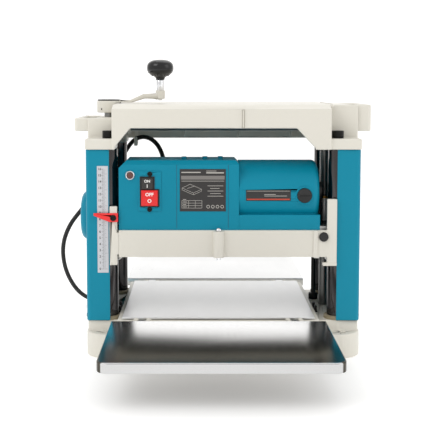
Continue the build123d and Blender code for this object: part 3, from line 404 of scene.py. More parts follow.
@dataclass(frozen=True)
class TurnedMetal(Finish):
    """Turned or ground metal with fine rings along one axis."""

    axis: int = 2

    def build(self) -> bpy.types.Material:
        """Rings in roughness and bump round the chosen axis."""
        graph = Graph(self.name)
        stretch = tuple(1.0 if i == self.axis else 0.01 for i in range(3))
        rings = graph.noise(1500.0, 3.0, stretch)
        patches = graph.noise(self.patch_scale, 4.0)
        colour = graph.blend(
            patches, self.colour.shade(1 - self.mottle), self.colour.shade(1 + self.mottle)
        )
        return graph.finish({
            "Base Color": colour,
            "Metallic": self.metallic,
            "Roughness": graph.spread(rings * 0.5 + patches * 0.5, *self.roughness),
            "Normal": graph.bump(rings, self.grain, self.grain_depth),
        })


CREAM = CastPaint(
    "cream_stoved_paint", Colour.CREAM, (0.33, 0.47), mottle=0.03, patch_scale=9.0,
    grain_scale=650.0, grain=0.16, grain_depth=0.0004, coat=0.15, dirt=0.35,
)
BLUE = CastPaint(
    "blue_stoved_paint", Colour.BLUE, (0.32, 0.46), mottle=0.05, patch_scale=8.0,
    grain_scale=1100.0, grain=0.14, grain_depth=0.0003, specular=0.22, dirt=0.1,
)
BLUE_SHELL = CastPaint(
    "blue_moulded_shell", Colour.BLUE, (0.36, 0.5), mottle=0.05, patch_scale=11.0,
    grain_scale=1500.0, grain=0.2, grain_depth=0.0003, specular=0.2, dirt=0.08,
)
SHEET = RolledSheet(
    "rear_table_sheet", Colour.SHEET, (0.24, 0.34), metallic=0.6, grain=0.02, grain_depth=0.0001,
)
# The front table's colour holds a painted dark reflection and a painted shade on its rim.
FRONT_SHEET = BurnishedSheet(
    "front_table_sheet", Colour.SHEET, (0.14, 0.26), metallic=1.0, grain=0.02, grain_depth=0.0001,
)
MAIN_SHEET = RolledSheet(
    "satin_table_sheet", Colour.SHEET, (0.28, 0.38), metallic=0.35, grain=0.015,
    grain_depth=0.0001,
)
CHROME = TurnedMetal(
    "hard_chrome", Colour.CHROME, (0.05, 0.14), metallic=1.0, mottle=0.04, grain=0.02,
    grain_depth=0.0001,
)
# The columns' chrome is darkened in colour: a painted dark reflection.
COLUMN_REFLECTION_CHROME = TurnedMetal(
    "column_chrome_painted_reflection", Colour.DARK_CHROME, (0.06, 0.16), metallic=1.0, mottle=0.06, grain=0.02,
    grain_depth=0.0001,
)
STEEL = TurnedMetal(
    "machined_steel", Colour.STEEL, (0.22, 0.42), metallic=1.0, mottle=0.1, grain=0.1,
    grain_depth=0.0002,
)
STEEL_X = TurnedMetal(
    "turned_drum_steel", Colour.STEEL, (0.22, 0.42), metallic=1.0, mottle=0.1, grain=0.1,
    grain_depth=0.0002, axis=0,
)
ALLOY = Finish(
    "cast_alloy", Colour.ALLOY, (0.38, 0.6), metallic=0.85, mottle=0.1, grain_scale=420.0,
    grain=0.35, grain_depth=0.0005, dirt=0.3,
)
BRONZE = TurnedMetal("bearing_bronze", Colour.BRONZE, (0.25, 0.45), metallic=1.0, mottle=0.12)
OXIDE = Finish(
    "black_oxide_steel", Colour.OXIDE, (0.28, 0.5), metallic=0.6, mottle=0.15, grain_scale=800.0,
    grain=0.15, dirt=0.15,
)
BLACK_PLASTIC = Finish(
    "black_grained_plastic", Colour.BLACK, (0.3, 0.48), mottle=0.2, grain_scale=1300.0, grain=0.2,
)
KNOB_BLACK = Finish(
    "polished_black_knob", Colour.SOOT, (0.12, 0.24), mottle=0.15, grain_scale=300.0, grain=0.03,
    specular=0.4, coat=0.15,
)
RUBBER = Finish(
    "black_rubber", Colour.RUBBER, (0.55, 0.75), mottle=0.2, grain_scale=1000.0, grain=0.25,
    specular=0.35, dirt=0.2,
)
CORD_RUBBER = Finish(
    "cord_jacket_rubber", Colour.RUBBER, (0.42, 0.6), mottle=0.15, grain_scale=1600.0, grain=0.2,
    specular=0.4, dirt=0.15,
)
RED_PAINT = Finish(
    "red_pointer_enamel", Colour.RED_PAINT, (0.25, 0.38), mottle=0.05, grain=0.05, coat=0.3,
)
RED_BUTTON = Finish(
    "red_button_plastic", Colour.RED, (0.22, 0.36), mottle=0.06, grain=0.06, coat=0.2,
)
GREY_BUTTON = Finish("grey_button_plastic", Colour.GREY_BUTTON, (0.3, 0.45), mottle=0.1, grain=0.1)
PLATE = Finish("printed_plate", Colour.PLATE, (0.35, 0.5), mottle=0.08, grain=0.05)
PLATE_MARK = Finish("plate_print_light", Colour.PLATE_MARK, (0.45, 0.6), mottle=0.05, grain=0.05)
PLATE_BAND = Finish("plate_print_band", Colour.PLATE_BAND, (0.45, 0.6), mottle=0.05, grain=0.05)
STRIPE = Finish("badge_stripe_print", Colour.STRIPE, (0.4, 0.55), mottle=0.06, grain=0.05)
SCALE = RolledSheet("anodised_scale", Colour.SCALE, (0.35, 0.5), metallic=0.35, grain=0.05)
SCALE_MARK = Finish("scale_print", Colour.SCALE_MARK, (0.5, 0.65), mottle=0.1, grain=0.05)
WHITE_MARK = Finish("button_print", Colour.WHITE, (0.4, 0.55), mottle=0.04, grain=0.05)
IVORY = Finish("ivory_plastic", Colour.IVORY, (0.3, 0.45), mottle=0.04, grain=0.08)
LENS = Finish(
    "tinted_lamp_lens", Colour.LENS, (0.08, 0.16), mottle=0.3, patch_scale=300.0, grain=0.1,
    coat=0.8,
)
COPPER = Finish(
    "wound_copper", Colour.COPPER, (0.3, 0.5), metallic=0.8, mottle=0.25, grain_scale=500.0,
    grain=0.4,
)
GRAPHITE = Finish("carbon_graphite", Colour.GRAPHITE, (0.45, 0.65), mottle=0.2, grain=0.3)
BRASS = TurnedMetal("plated_brass", Colour.BRASS, (0.18, 0.32), metallic=1.0, mottle=0.08, axis=0)
FOOT = CastPaint(
    "machined_foot_primer", Colour.FOOT, (0.35, 0.5), mottle=0.08, grain_scale=700.0, grain=0.12,
    grain_depth=0.0003, dirt=0.3,
)
FLOOR = Finish(
    "studio_paper", Colour.FLOOR, (0.75, 0.9), mottle=0.01, patch_scale=0.6, grain=0.02, glow=0.3,
)
DEEP_SEAM = Finish("seam_shadow", Colour.BLUE_DEEP, (0.5, 0.7), mottle=0.1, grain=0.1)


# ---------------------------------------------------------------- mesh work


Shape = bmesh.types.BMesh


class Axis(Enum):
    """The directions that a turned piece may point in."""

    X = "X"
    Y = "Y"
    Z = "Z"

    def turn(self) -> Matrix:
        """The matrix that lays a piece turned about Z along this axis."""
        if self is Axis.X:
            return Matrix.Rotation(math.radians(90), 4, "Y")
        if self is Axis.Y:
            return Matrix.Rotation(math.radians(-90), 4, "X")
        return Matrix.Identity(4)


def scaled(place: Point) -> Point:
    """A place in millimetres, in metres."""
    return place[0] * MM, place[1] * MM, place[2] * MM


def smooth(value: float) -> float:
    """A soft step from 0 to 1."""
    value = min(max(value, 0.0), 1.0)
    return value * value * (3 - 2 * value)


def evaluated(holder: bpy.types.Object) -> bpy.types.Object:
    """An object as the scene shows it, with its modifiers and bevels."""
    bpy.context.view_layer.update()
    return holder.evaluated_get(bpy.context.evaluated_depsgraph_get())


def wall_turn() -> Matrix:
    """Turns a shape drawn flat on XY to stand up on XZ and face -Y."""
    return Matrix.Rotation(math.radians(90), 4, "X")


def made_object(
    name: str, shape: Shape, finish: Finish, smooth_angle: float = 35.0
) -> bpy.types.Object:
    """Turns a bmesh into a piece with a finish.

    Args:
        name: the piece's name.
        shape: the mesh, which is freed.
        finish: its finish.
        smooth_angle: edges sharper than this stay crisp, in degrees.

    Returns:
        The new object, at the origin.
    """
    mesh = bpy.data.meshes.new(name)
    shape.to_mesh(mesh)
    shape.free()
    mesh.materials.clear()
    mesh.materials.append(finish.material())
    mesh.shade_smooth()
    mesh.set_sharp_from_angle(angle=math.radians(smooth_angle))
    piece = bpy.data.objects.new(name, mesh)
    bpy.context.scene.collection.objects.link(piece)
    return piece


def soften(
    piece: bpy.types.Object, width: float, segments: int = 3, angle: float = 40.0
) -> bpy.types.Object:
    """Rounds a piece's crisp edges with a live bevel.

    Args:
        piece: the piece.
        width: the bevel's width in millimetres.
        segments: how many faces make the round.
        angle: only edges sharper than this are rounded, in degrees.

    Returns:
        The same piece.
    """
    bevel = piece.modifiers.new("rounded_edges", "BEVEL")
    bevel.width = width * MM
    bevel.segments = segments
    bevel.limit_method = "ANGLE"
    bevel.angle_limit = math.radians(angle)
    bevel.use_clamp_overlap = False
    bevel.harden_normals = True
    bevel.miter_outer = "MITER_ARC"
    return piece


def block(shape: Shape, low: Point, high: Point) -> None:
    """Adds a box between two corners given in millimetres."""
    size = [(b - a) * MM for a, b in zip(low, high)]
    middle = Vector([(a + b) / 2 * MM for a, b in zip(low, high)])
    matrix = Matrix.Translation(middle) @ Matrix.Diagonal((*size, 1.0))
    bmesh.ops.create_cube(shape, size=1.0, matrix=matrix)


def join(shape: Shape, other: Shape) -> None:
    """Moves all of another shape into a shape, and frees the other."""
    mesh = bpy.data.meshes.new("joining")
    other.to_mesh(mesh)
    other.free()
    shape.from_mesh(mesh)
    bpy.data.meshes.remove(mesh)


def turned(
    shape: Shape, outline: Sequence[tuple[float, float]], centre: Point, axis: Axis,
    steps: int = 48
) -> None:
    """Adds a turned shape.

    Args:
        shape: what it is added to.
        outline: (radius, distance along the axis) points in millimetres, from end to end.
        centre: where the axis starts, in millimetres.
        axis: the direction of the axis.
        steps: how many faces go round.
    """
    own = bmesh.new()
    line = [own.verts.new((radius * MM, 0.0, along * MM)) for radius, along in outline]
    edges = [own.edges.new(pair) for pair in zip(line, line[1:])]
    bmesh.ops.spin(
        own, geom=line + edges, cent=(0, 0, 0), axis=(0, 0, 1), angle=math.tau, steps=steps,
        use_merge=True,
    )
    bmesh.ops.remove_doubles(own, verts=own.verts, dist=1e-6)
    bmesh.ops.dissolve_degenerate(own, dist=1e-7, edges=own.edges)
    bmesh.ops.transform(
        own, matrix=Matrix.Translation(Vector(centre) * MM) @ axis.turn(), verts=own.verts
    )
    bmesh.ops.recalc_face_normals(own, faces=own.faces)
    join(shape, own)


def copy_of(
    frame: dict[str, Any], node: str, name: str, finish: Finish, flatten: bool = False
) -> bpy.types.Object:
    """A merged copy of a node's mesh, ready for rounding.

    Args:
        node: the node's name.
        name: the new piece's name.
        finish: its finish.
        flatten: whether the triangles of each flat face become one face.

    Returns:
        The new piece.
    """
    shape = bmesh.new()
    shape.from_mesh(frame["nodes"][node].data)
    bmesh.ops.remove_doubles(shape, verts=shape.verts, dist=1e-5)
    if flatten:
        bmesh.ops.dissolve_limit(
            shape, angle_limit=math.radians(0.4), use_dissolve_boundaries=False, verts=shape.verts,
            edges=shape.edges,
        )
    return made_object(name, shape, finish)


def lettering(shape: Shape, text: str, height: float, spot: Point, bold: float = 0.0) -> None:
    """Adds raised text that faces -Y, centred on a spot.

    Args:
        shape: what it is added to.
        text: the characters.
        height: the size of the type in millimetres.
        spot: the middle of the text in millimetres.
        bold: how far the strokes are swollen, in millimetres.
    """
    curve = bpy.data.curves.new("type", "FONT")
    curve.body = text
    curve.size = height * MM
    curve.align_x = "CENTER"
    curve.align_y = "CENTER"
    curve.extrude = 0.05 * MM
    curve.offset = bold * MM
    curve.resolution_u = 3
    holder = bpy.data.objects.new("type", curve)
    bpy.context.scene.collection.objects.link(holder)
    mesh = bpy.data.meshes.new_from_object(evaluated(holder))
    mesh.transform(Matrix.Translation(Vector(spot) * MM) @ wall_turn())
    shape.from_mesh(mesh)
    bpy.data.objects.remove(holder)
    bpy.data.curves.remove(curve)
    bpy.data.meshes.remove(mesh)


@dataclass
class Shop:
    """Takes in finished pieces: it makes them ride, hides the nodes they stand for, and counts
    them.
    """

    frame: dict[str, Any]
    count: int = 0

    def hand_in(
        self, piece: bpy.types.Object, body: str, slot: str, *nodes: str
    ) -> bpy.types.Object:
        """Makes a piece ride on its body and stand for its nodes.

        Args:
            piece: the finished piece.
            body: the body that it rides on.
            slot: the record's material slot; not used.
            nodes: the nodes that it stands for.

        Returns:
            The same piece.
        """
        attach(piece, body)
        if nodes:
            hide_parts(*nodes)
        self.count += 1
        log.info("%s rides on %s", piece.name, body)
        return piece

    def rounded(
        self, node: str, finish: Finish, body: str, slot: str, width: float, segments: int = 3
    ) -> bpy.types.Object:
        """A copy of a node with rounded edges, which stands for the node."""
        piece = soften(copy_of(self.frame, node, f"{node}_finished", finish), width, segments)
        return self.hand_in(piece, body, slot, node)

    def dress(self, node: str, finish: Finish) -> None:
        """Gives a node that stays as it is a new finish."""
        for place in self.frame["nodes"][node].material_slots:
            place.material = finish.material()


# ---------------------------------------------------------------- base and tables


@dataclass
class Base:
    """The cast base with its polished table, columns and folding extension tables."""

    shop: Shop
    column_x: float = 184.0
    column_y: tuple[float, float] = (-95.0, 90.0)
    foot_radius: float = 20.0
    foot_top: float = 61.0
    body_top: float = 55.0
    column_radius: float = 15.0
    table_middle: float = -8.0
    table_half: float = 159.8
    table_stud_y: tuple[float, ...] = (-358.0, -190.0)
    table_stud_z: float = 54.0
    cover_side: float = 218.7
    cover_stud_y: tuple[float, ...] = (-98.0, 92.0)
    cover_stud_z: float = 60.0

    def build(self) -> None:
        """Builds and dresses the whole base."""
        shop = self.shop
        shop.rounded("base_casting", CREAM, "frame", "cream_paint", 1.4)
        shop.rounded("main_table", MAIN_SHEET, "frame", "polished_steel", 0.5, 2)
        shop.rounded("side_stops", OXIDE, "frame", "black_oxide", 0.8)
        shop.rounded("front_table", FRONT_SHEET, "front_table", "polished_steel", 0.8)
        shop.rounded("rear_table", SHEET, "rear_table", "polished_steel", 0.8)
        shop.rounded("stop_rod", OXIDE, "frame", "black_oxide", 0.8)
        shop.rounded("column_screws", OXIDE, "frame", "black_oxide", 0.7)
        shop.dress("hinge_pins", STEEL)
        # The columns' finish holds a painted dark reflection.
        shop.dress("columns", COLUMN_REFLECTION_CHROME)
        self.column_feet()
        self.side_studs()

    def column_feet(self) -> None:
        """The machined collars that the columns stand in."""
        shape = bmesh.new()
        inner = self.column_radius + 0.1
        outline = [
            (inner, self.body_top), (self.foot_radius, self.body_top),
            (self.foot_radius, self.foot_top - 1.5), (self.foot_radius - 1.5, self.foot_top),
            (inner, self.foot_top), (inner, self.body_top),
        ]
        for side in (-1, 1):
            for y in self.column_y:
                turned(shape, outline, (side * self.column_x, y, 0.0), Axis.Z)
        self.shop.hand_in(made_object("column_collars", shape, FOOT), "frame", "cream_paint")

    def side_studs(self) -> None:
        """The small black stop screws in the front table's sides and the base's shoulders."""
        screw = [(0, -1.0), (3.4, -1.0), (3.4, 1.3), (2.6, 2.0), (1.6, 2.0), (1.4, 1.4), (0, 1.4)]
        table, base = bmesh.new(), bmesh.new()
        for side in (-1, 1):
            outline = [(radius, side * along) for radius, along in screw]
            edge = self.table_middle + side * self.table_half
            for y in self.table_stud_y:
                turned(table, outline, (edge, y, self.table_stud_z), Axis.X, 20)
            for y in self.cover_stud_y:
                turned(base, outline, (side * self.cover_side, y, self.cover_stud_z), Axis.X, 20)
        side_screws = made_object("table_side_screws", table, OXIDE)
        self.shop.hand_in(side_screws, "front_table", "black_oxide")
        self.shop.hand_in(made_object("cover_side_screws", base, OXIDE), "frame", "black_oxide")


# ---------------------------------------------------------------- side covers and scale


@dataclass
class SideCovers:
    """The blue covers outside the columns and the height scale on the left one."""

    shop: Shop
    scale_left: float = -200.3
    scale_face: float = -117.8
    zero_level: float = 139.0
    last_number: int = 16
    number_height: float = 5.2
    number_offset: float = 4.2
    centimetre_end: float = 10.2
    inch_start: float = 10.9
    inch: float = 25.4
    tick: float = 0.35

    def build(self) -> None:
        """Builds the covers, the plate and its print."""
        shop = self.shop
        shop.rounded("side_cover_left", BLUE, "frame", "blue_paint", 1.6)
        shop.rounded("side_cover_right", BLUE, "frame", "blue_paint", 1.6)
        shop.rounded("scale_plate", SCALE, "frame", "scale_plate", 0.2, 2)
        self.print_scale()

    def print_scale(self) -> None:
        """Centimetre numbers and ticks on the left, and inch ticks on the right."""
        shape = bmesh.new()
        face = self.scale_face
        for number in range(self.last_number + 1):
            level = self.zero_level + number * 10.0
            spot = (self.scale_left + self.number_offset, face, level)
            lettering(shape, str(number), self.number_height, spot, 0.12)
        for step in range(self.last_number * 10 + 1):
            level = self.zero_level + step
            reach = 3.6 if step % 10 == 0 else 2.6 if step % 5 == 0 else 1.7
            start = self.scale_left + self.centimetre_end - reach
            half = self.tick / 2 if step % 5 == 0 else self.tick / 3
            block(
                shape,
                (start, face - 0.05, level - half),
                (start + reach, face + 0.02, level + half),
            )
        for step in range(int(self.last_number * 10 / self.inch * 16) + 1):
            level = self.zero_level + step * self.inch / 16
            reach = (
                5.0 if step % 16 == 0 else 3.6 if step % 8 == 0
                else 2.6 if step % 4 == 0 else 1.6
            )
            start = self.scale_left + self.inch_start
            block(
                shape, (start, face - 0.05, level - self.tick / 3),
                (start + reach, face + 0.02, level + self.tick / 3),
            )
        self.shop.hand_in(made_object("scale_print", shape, SCALE_MARK), "frame", "black_plastic")


# ---------------------------------------------------------------- upper frame and lifting gear


@dataclass
class UpperFrame:
    """The cast top with its grips, and the cord hook under its rear wall."""

    shop: Shop
    frame_round: float = 2.0
    hook_round: float = 0.8

    def build(self) -> None:
        """Builds the frame and the hook."""
        frame = copy_of(
            self.shop.frame, "upper_frame", "upper_frame_finished", CREAM, flatten=True
        )
        soften(frame, self.frame_round, 4)
        self.shop.hand_in(frame, "frame", "cream_paint", "upper_frame")
        self.shop.rounded("cord_hook", IVORY, "frame", "light_plastic", self.hook_round)


@dataclass
class LiftingGear:
    """The crank, its knob, the two threaded screws, their gears and the cross shaft."""

    shop: Shop
    pitch: float = 2.0
    core: float = 7.7
    crest: float = 8.95
    round_steps: int = 20
    plain_end: float = 6.0
    thread_top: float = 345.0
    hub: tuple[float, float] = (-192.0, 0.0)
    hub_top: float = 405.5
    hub_cap_radius: float = 19.0
    clamp_screw: Point = (-202.0, -17.2, 391.5)
    knob_x: float = -104.6
    rib_level: float = 450.6
    rib_radius: float = 16.6
    rib_slope: float = -40.0
    ribs: int = 20

    def build(self) -> None:
        """Builds and dresses the gear."""
        shop = self.shop
        shop.rounded("crank_arm", CREAM, "crank", "cream_paint", 1.6)
        shop.rounded("crank_spindle", CHROME, "crank", "black_oxide", 0.3, 2)
        knob = copy_of(shop.frame, "crank_knob", "crank_knob_finished", KNOB_BLACK)
        shop.hand_in(knob, "knob", "black_plastic", "crank_knob")
        for node in ("bevel_gear_left", "bevel_gear_right", "cross_shaft"):
            shop.dress(node, STEEL)
        self.threaded("lead_screw_left", "crank", -1)
        self.threaded("lead_screw_right", "right_screw", 1)
        self.crank_cap()
        self.knob_ribs()

    def threaded(self, node: str, body: str, hand: int) -> None:
        """A rod with a real trapezoidal thread between plain ends.

        Args:
            node: the node whose place it takes.
            body: the body that it rides on.
            hand: 1 for a right-hand thread, -1 for a left-hand one.
        """
        low, high = (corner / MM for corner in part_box(node))
        x, y = (low.x + high.x) / 2, (low.y + high.y) / 2
        start, end = low.z + self.plain_end, min(high.z - self.plain_end, self.thread_top)
        shape = bmesh.new()
        top = self.crest if end > high.z - self.plain_end - 1 else self.core
        outline = [
            (0.0, low.z), (self.core - 1, low.z), (self.core, low.z + 1), (self.core, high.z - 1),
            (top - 1, high.z), (0.0, high.z),
        ]
        turned(shape, outline, (x, y, 0.0), Axis.Z, 32)
        turns = int((end - start) / self.pitch)
        tooth = bmesh.new()
        p = self.pitch
        first = start if hand > 0 else start + turns * p
        root = self.core - 0.4
        corners = ((root, 0.0), (self.crest, 0.3 * p), (self.crest, 0.6 * p), (root, 0.9 * p))
        ring = [tooth.verts.new(((x + r) * MM, y * MM, (first + z) * MM)) for r, z in corners]
        edges = [tooth.edges.new((ring[i], ring[(i + 1) % 4])) for i in range(4)]
        steps = turns * self.round_steps
        bmesh.ops.spin(
            tooth, geom=ring + edges, cent=(x * MM, y * MM, 0), axis=(0, 0, 1),
            dvec=(0, 0, hand * p * MM / self.round_steps), angle=math.tau * turns, steps=steps,
        )
        bmesh.ops.holes_fill(tooth, edges=[e for e in tooth.edges if e.is_boundary], sides=0)
        bmesh.ops.recalc_face_normals(tooth, faces=tooth.faces)
        join(shape, tooth)
        self.shop.hand_in(made_object(f"{node}_thread", shape, STEEL), body, "steel", node)

    def crank_cap(self) -> None:
        """The black cover on top of the crank's hub, and the clamp screw in the hub's side."""
        shape = bmesh.new()
        r, top = self.hub_cap_radius, self.hub_top
        outline = [
            (0, top - 0.4), (r, top - 0.4), (r, top + 1.3), (r - 0.8, top + 2.0),
            (r - 4.0, top + 2.0),
            (r - 4.6, top + 1.5), (0, top + 1.5),
        ]
        turned(shape, outline, (*self.hub, 0.0), Axis.Z)
        screw = [(0, 0.0), (1.7, 0.0), (1.7, -0.3), (1.0, -0.3), (0.9, -0.1), (0, -0.1)]
        turned(shape, screw, self.clamp_screw, Axis.Y, 20)
        hub_cover = made_object("crank_hub_cover", shape, BLACK_PLASTIC)
        self.shop.hand_in(hub_cover, "crank", "black_oxide")

    def knob_ribs(self) -> None:
        """The thin ribs under the knob's head."""
        shape = bmesh.new()
        for i in range(self.ribs):
            turn = Matrix.Translation((self.knob_x * MM, 0, self.rib_level * MM))
            turn @= Matrix.Rotation(math.tau * i / self.ribs, 4, "Z")
            turn @= Matrix.Translation((self.rib_radius * MM, 0, 0))
            turn @= Matrix.Rotation(math.radians(self.rib_slope), 4, "Y")
            bmesh.ops.create_cube(
                shape, size=1.0, matrix=turn @ Matrix.Diagonal((9.5 * MM, 0.9 * MM, 1.6 * MM, 1))
            )
        bmesh.ops.bevel(
            shape, geom=shape.edges[:], offset=0.2 * MM, segments=1, profile=0.5, affect="EDGES",
            material=-1,
        )
        self.shop.hand_in(made_object("knob_ribs", shape, KNOB_BLACK), "knob", "black_plastic")


# ---------------------------------------------------------------- cutter head


@dataclass
class CutterHead:
    """The head's castings and its blue housings, with everything that is mounted on them."""

    shop: Shop
    face: float = -117.0
    plate_face: float = -117.6
    seams: tuple[float, float] = (-74.0, 8.0)
    plate_x: tuple[float, float] = (-69.0, 4.0)
    plate_z: tuple[float, float] = (231.6, 299.0)
    badge_x: tuple[float, float] = (36.0, 107.0)
    badge_z: tuple[float, float] = (248.5, 265.8)
    badge_radius: float = 52.75
    motor: tuple[float, float] = (-66.0, 258.0)
    brush: tuple[float, float] = (129.0, 257.0)
    lamp_spot: tuple[float, float] = (-148.0, 289.0)
    lamp_face: float = -118.5
    panel_face: float = -118.25
    on_x: float = -120.5
    off_x: float = -117.0
    on_face: float = -122.0
    off_face: float = -123.0

    def build(self) -> None:
        """Builds and dresses the whole head."""
        self.castings()
        self.housings()
        self.rating_plate()
        self.badge()
        self.switch()
        self.lamp()
        self.inner_works()

    def castings(self) -> None:
        """The head casting, the rail and brackets, and the pointer and gauge."""
        shop = self.shop
        shop.rounded("head_casting", ALLOY, "head", "cast_alloy", 1.0)
        shop.dress("front_rail", CREAM)
        shop.rounded("head_brackets", CREAM, "head", "cream_paint", 1.0)
        shop.rounded("pointer", RED_PAINT, "head", "red_paint", 0.4, 2)
        shop.rounded("small_screws", OXIDE, "head", "black_oxide", 0.4, 2)
        shop.rounded("brush_caps", BLACK_PLASTIC, "head", "black_plastic", 0.5, 2)
        shop.dress("gauge_pin", CHROME)

    def housings(self) -> None:
        """The moulded shells, their parting lines and the ring round the brush cap."""
        shop = self.shop
        shop.dress("switch_housing", BLUE_SHELL)
        shop.rounded("motor_housing", BLUE_SHELL, "head", "blue_plastic", 1.2, 3)
        shop.rounded("chip_cover", BLUE_SHELL, "head", "blue_plastic", 1.0)
        seam = bmesh.new()
        for x in self.seams:
            block(seam, (x - 0.45, self.face - 0.12, 205.0), (x + 0.45, self.face + 0.4, 306.0))
        shop.hand_in(made_object("housing_seams", seam, DEEP_SEAM), "head", "blue_plastic")
        ring = bmesh.new()
        x, z = self.brush
        outline = [
            (11.7, 6.0), (11.7, -1.2), (12.3, -1.8), (14.0, -1.8), (14.9, -0.9), (14.9, 6.0),
            (11.7, 6.0),
        ]
        turned(ring, outline, (x, self.face, z), Axis.Y)
        shop.hand_in(made_object("brush_ring", ring, BLUE_SHELL), "head", "blue_plastic")

    def rating_plate(self) -> None:
        """A dark plate with plain printed bars, a drawing of a board, and empty table cells."""
        shop = self.shop
        shop.rounded("rating_plate", PLATE, "head", "dark_plate", 0.15, 2)
        left, right = self.plate_x
        low, high = self.plate_z
        light, band = bmesh.new(), bmesh.new()
        self.bar(light, (left + 2.5, left + 33.0), (high - 6.0, high - 4.4))
        self.bar(light, (left + 42.0, right - 3.0), (high - 6.8, high - 5.0))
        self.bar(light, (left + 42.0, left + 58.0), (high - 3.4, high - 2.6))
        self.bar(band, (left + 2.0, right - 2.0), (high - 16.6, high - 10.6))
        self.bar(light, (left + 2.5, right - 2.5), (high - 19.4, high - 18.7))
        for row, (start, length) in enumerate(((0, 25), (4, 15), (0, 25), (4, 17), (0, 25))):
            level = high - 27.0 - row * 4.1
            first = right - 29.0 + start
            self.bar(light, (first, first + length), (level, level + 0.7))
        self.board_drawing(light, (left + 3.5, high - 39.0))
        for column in range(4):
            x = left + 3.0 + column * 10.6
            self.bar(light, (x, x + 0.5), (low + 5.0, low + 17.0))
        for row in range(4):
            level = low + 5.0 + row * 4.0
            self.bar(light, (left + 3.0, left + 35.3), (level, level + 0.5))
            self.bar(light, (left + 5.0, left + 11.0 - row % 2), (level + 1.7, level + 2.5))
        wheel = [(1.9, 0.0), (2.7, 0.0), (2.7, 0.07), (1.9, 0.07), (1.9, 0.0)]
        for i in range(4):
            spot = (right - 28.0 + i * 7.4, self.plate_face - 0.06, low + 7.5)
            turned(light, wheel, spot, Axis.Y, 24)
        shop.hand_in(made_object("rating_plate_bars", light, PLATE_MARK), "head", "light_plastic")
        shop.hand_in(made_object("rating_plate_band", band, PLATE_BAND), "head", "dark_plate")

    def bar(self, shape: Shape, x: tuple[float, float], z: tuple[float, float]) -> None:
        """Adds one thin printed bar on the rating plate."""
        block(shape, (x[0], self.plate_face - 0.06, z[0]), (x[1], self.plate_face + 0.02, z[1]))

    def board_drawing(self, shape: Shape, corner: tuple[float, float]) -> None:
        """Adds a slanted outline of a board in thin strokes.

        Args:
            shape: what it is added to.
            corner: the drawing's lower left corner, X and Z in millimetres.
        """
        x, z = corner
        dots = [(0, 9), (13, 15), (31, 7), (18, 1), (0, 9), (0, 6), (18, -2), (31, 4), (31, 7)]
        strokes = list(zip(dots, dots[1:])) + [((18, 1), (18, -2)), ((8, 8), (20, 12))]
        for first, last in strokes:
            a, b = Vector(first), Vector(last)
            angle = math.atan2(b.y - a.y, b.x - a.x)
            middle = (a + b) / 2
            spot = Vector((x + middle.x, self.plate_face - 0.02, z + middle.y))
            matrix = Matrix.Translation(spot * MM)
            matrix @= Matrix.Rotation(-angle, 4, "Y")
            matrix @= Matrix.Diagonal(((b - a).length * MM, 0.08 * MM, 0.45 * MM, 1.0))
            bmesh.ops.create_cube(shape, size=1.0, matrix=matrix)

    def badge(self) -> None:
        """The dark badge round the motor housing, with its stripe and thin border lines."""
        shop = self.shop
        shop.rounded("badge_plate", PLATE, "head", "dark_plate", 0.15, 2)
        left, right = self.badge_x
        low, high = self.badge_z
        stripe, lines = bmesh.new(), bmesh.new()
        self.on_barrel(stripe, (left + 1.5, right - 1.5), (low + 1.6, low + 3.4))
        self.on_barrel(lines, (left + 1.5, right - 1.5), (high - 2.0, high - 1.4))
        self.on_barrel(lines, (right - 42.0, right - 6.0), (low + 7.4, low + 8.2))
        self.on_barrel(lines, (right - 42.0, right - 24.0), (low + 9.8, low + 10.6))
        shop.hand_in(made_object("badge_stripe", stripe, STRIPE), "head", "red_paint")
        shop.hand_in(made_object("badge_lines", lines, PLATE_MARK), "head", "light_plastic")

    def on_barrel(self, shape: Shape, x: tuple[float, float], z: tuple[float, float]) -> None:
        """Adds a thin printed patch that follows the motor housing's round front.

        Args:
            shape: what it is added to.
            x: its left and right ends.
            z: its lower and upper edges.
        """
        rows = 4
        for i in range(rows):
            low = z[0] + (z[1] - z[0]) * i / rows
            high = z[0] + (z[1] - z[0]) * (i + 1) / rows
            middle = (low + high) / 2 - self.motor[1]
            y = self.motor[0] - math.sqrt(self.badge_radius**2 - middle**2)
            block(shape, (x[0], y - 0.06, low), (x[1], y + 0.3, high))

    def switch(self) -> None:
        """The switch plate and its two lettered buttons."""
        shop = self.shop
        panel = self.switch_part("switch_panel", BLUE_SHELL, front=False)
        shop.hand_in(soften(panel, 0.3, 2), "head", "blue_plastic", "switch_plate")
        surround = self.switch_part("switch_surround", BLACK_PLASTIC, front=True)
        shop.hand_in(soften(surround, 0.3, 2), "head", "black_plastic", "switch_plate")
        shop.rounded("on_button", GREY_BUTTON, "on_button", "button_grey", 0.3, 2)
        shop.rounded("off_button", RED_BUTTON, "off_button", "button_red", 0.3, 2)
        on, off = bmesh.new(), bmesh.new()
        lettering(on, "ON", 6.0, (self.on_x, self.on_face, 280.0), 0.15)
        lettering(on, "I", 7.5, (self.on_x, self.on_face, 272.2), 0.2)
        lettering(off, "OFF", 7.4, (self.off_x, self.off_face, 258.8), 0.2)
        lettering(off, "O", 8.0, (self.off_x, self.off_face, 248.6), 0.2)
        shop.hand_in(made_object("on_lettering", on, WHITE_MARK), "on_button", "light_plastic")
        shop.hand_in(made_object("off_lettering", off, WHITE_MARK), "off_button", "light_plastic")

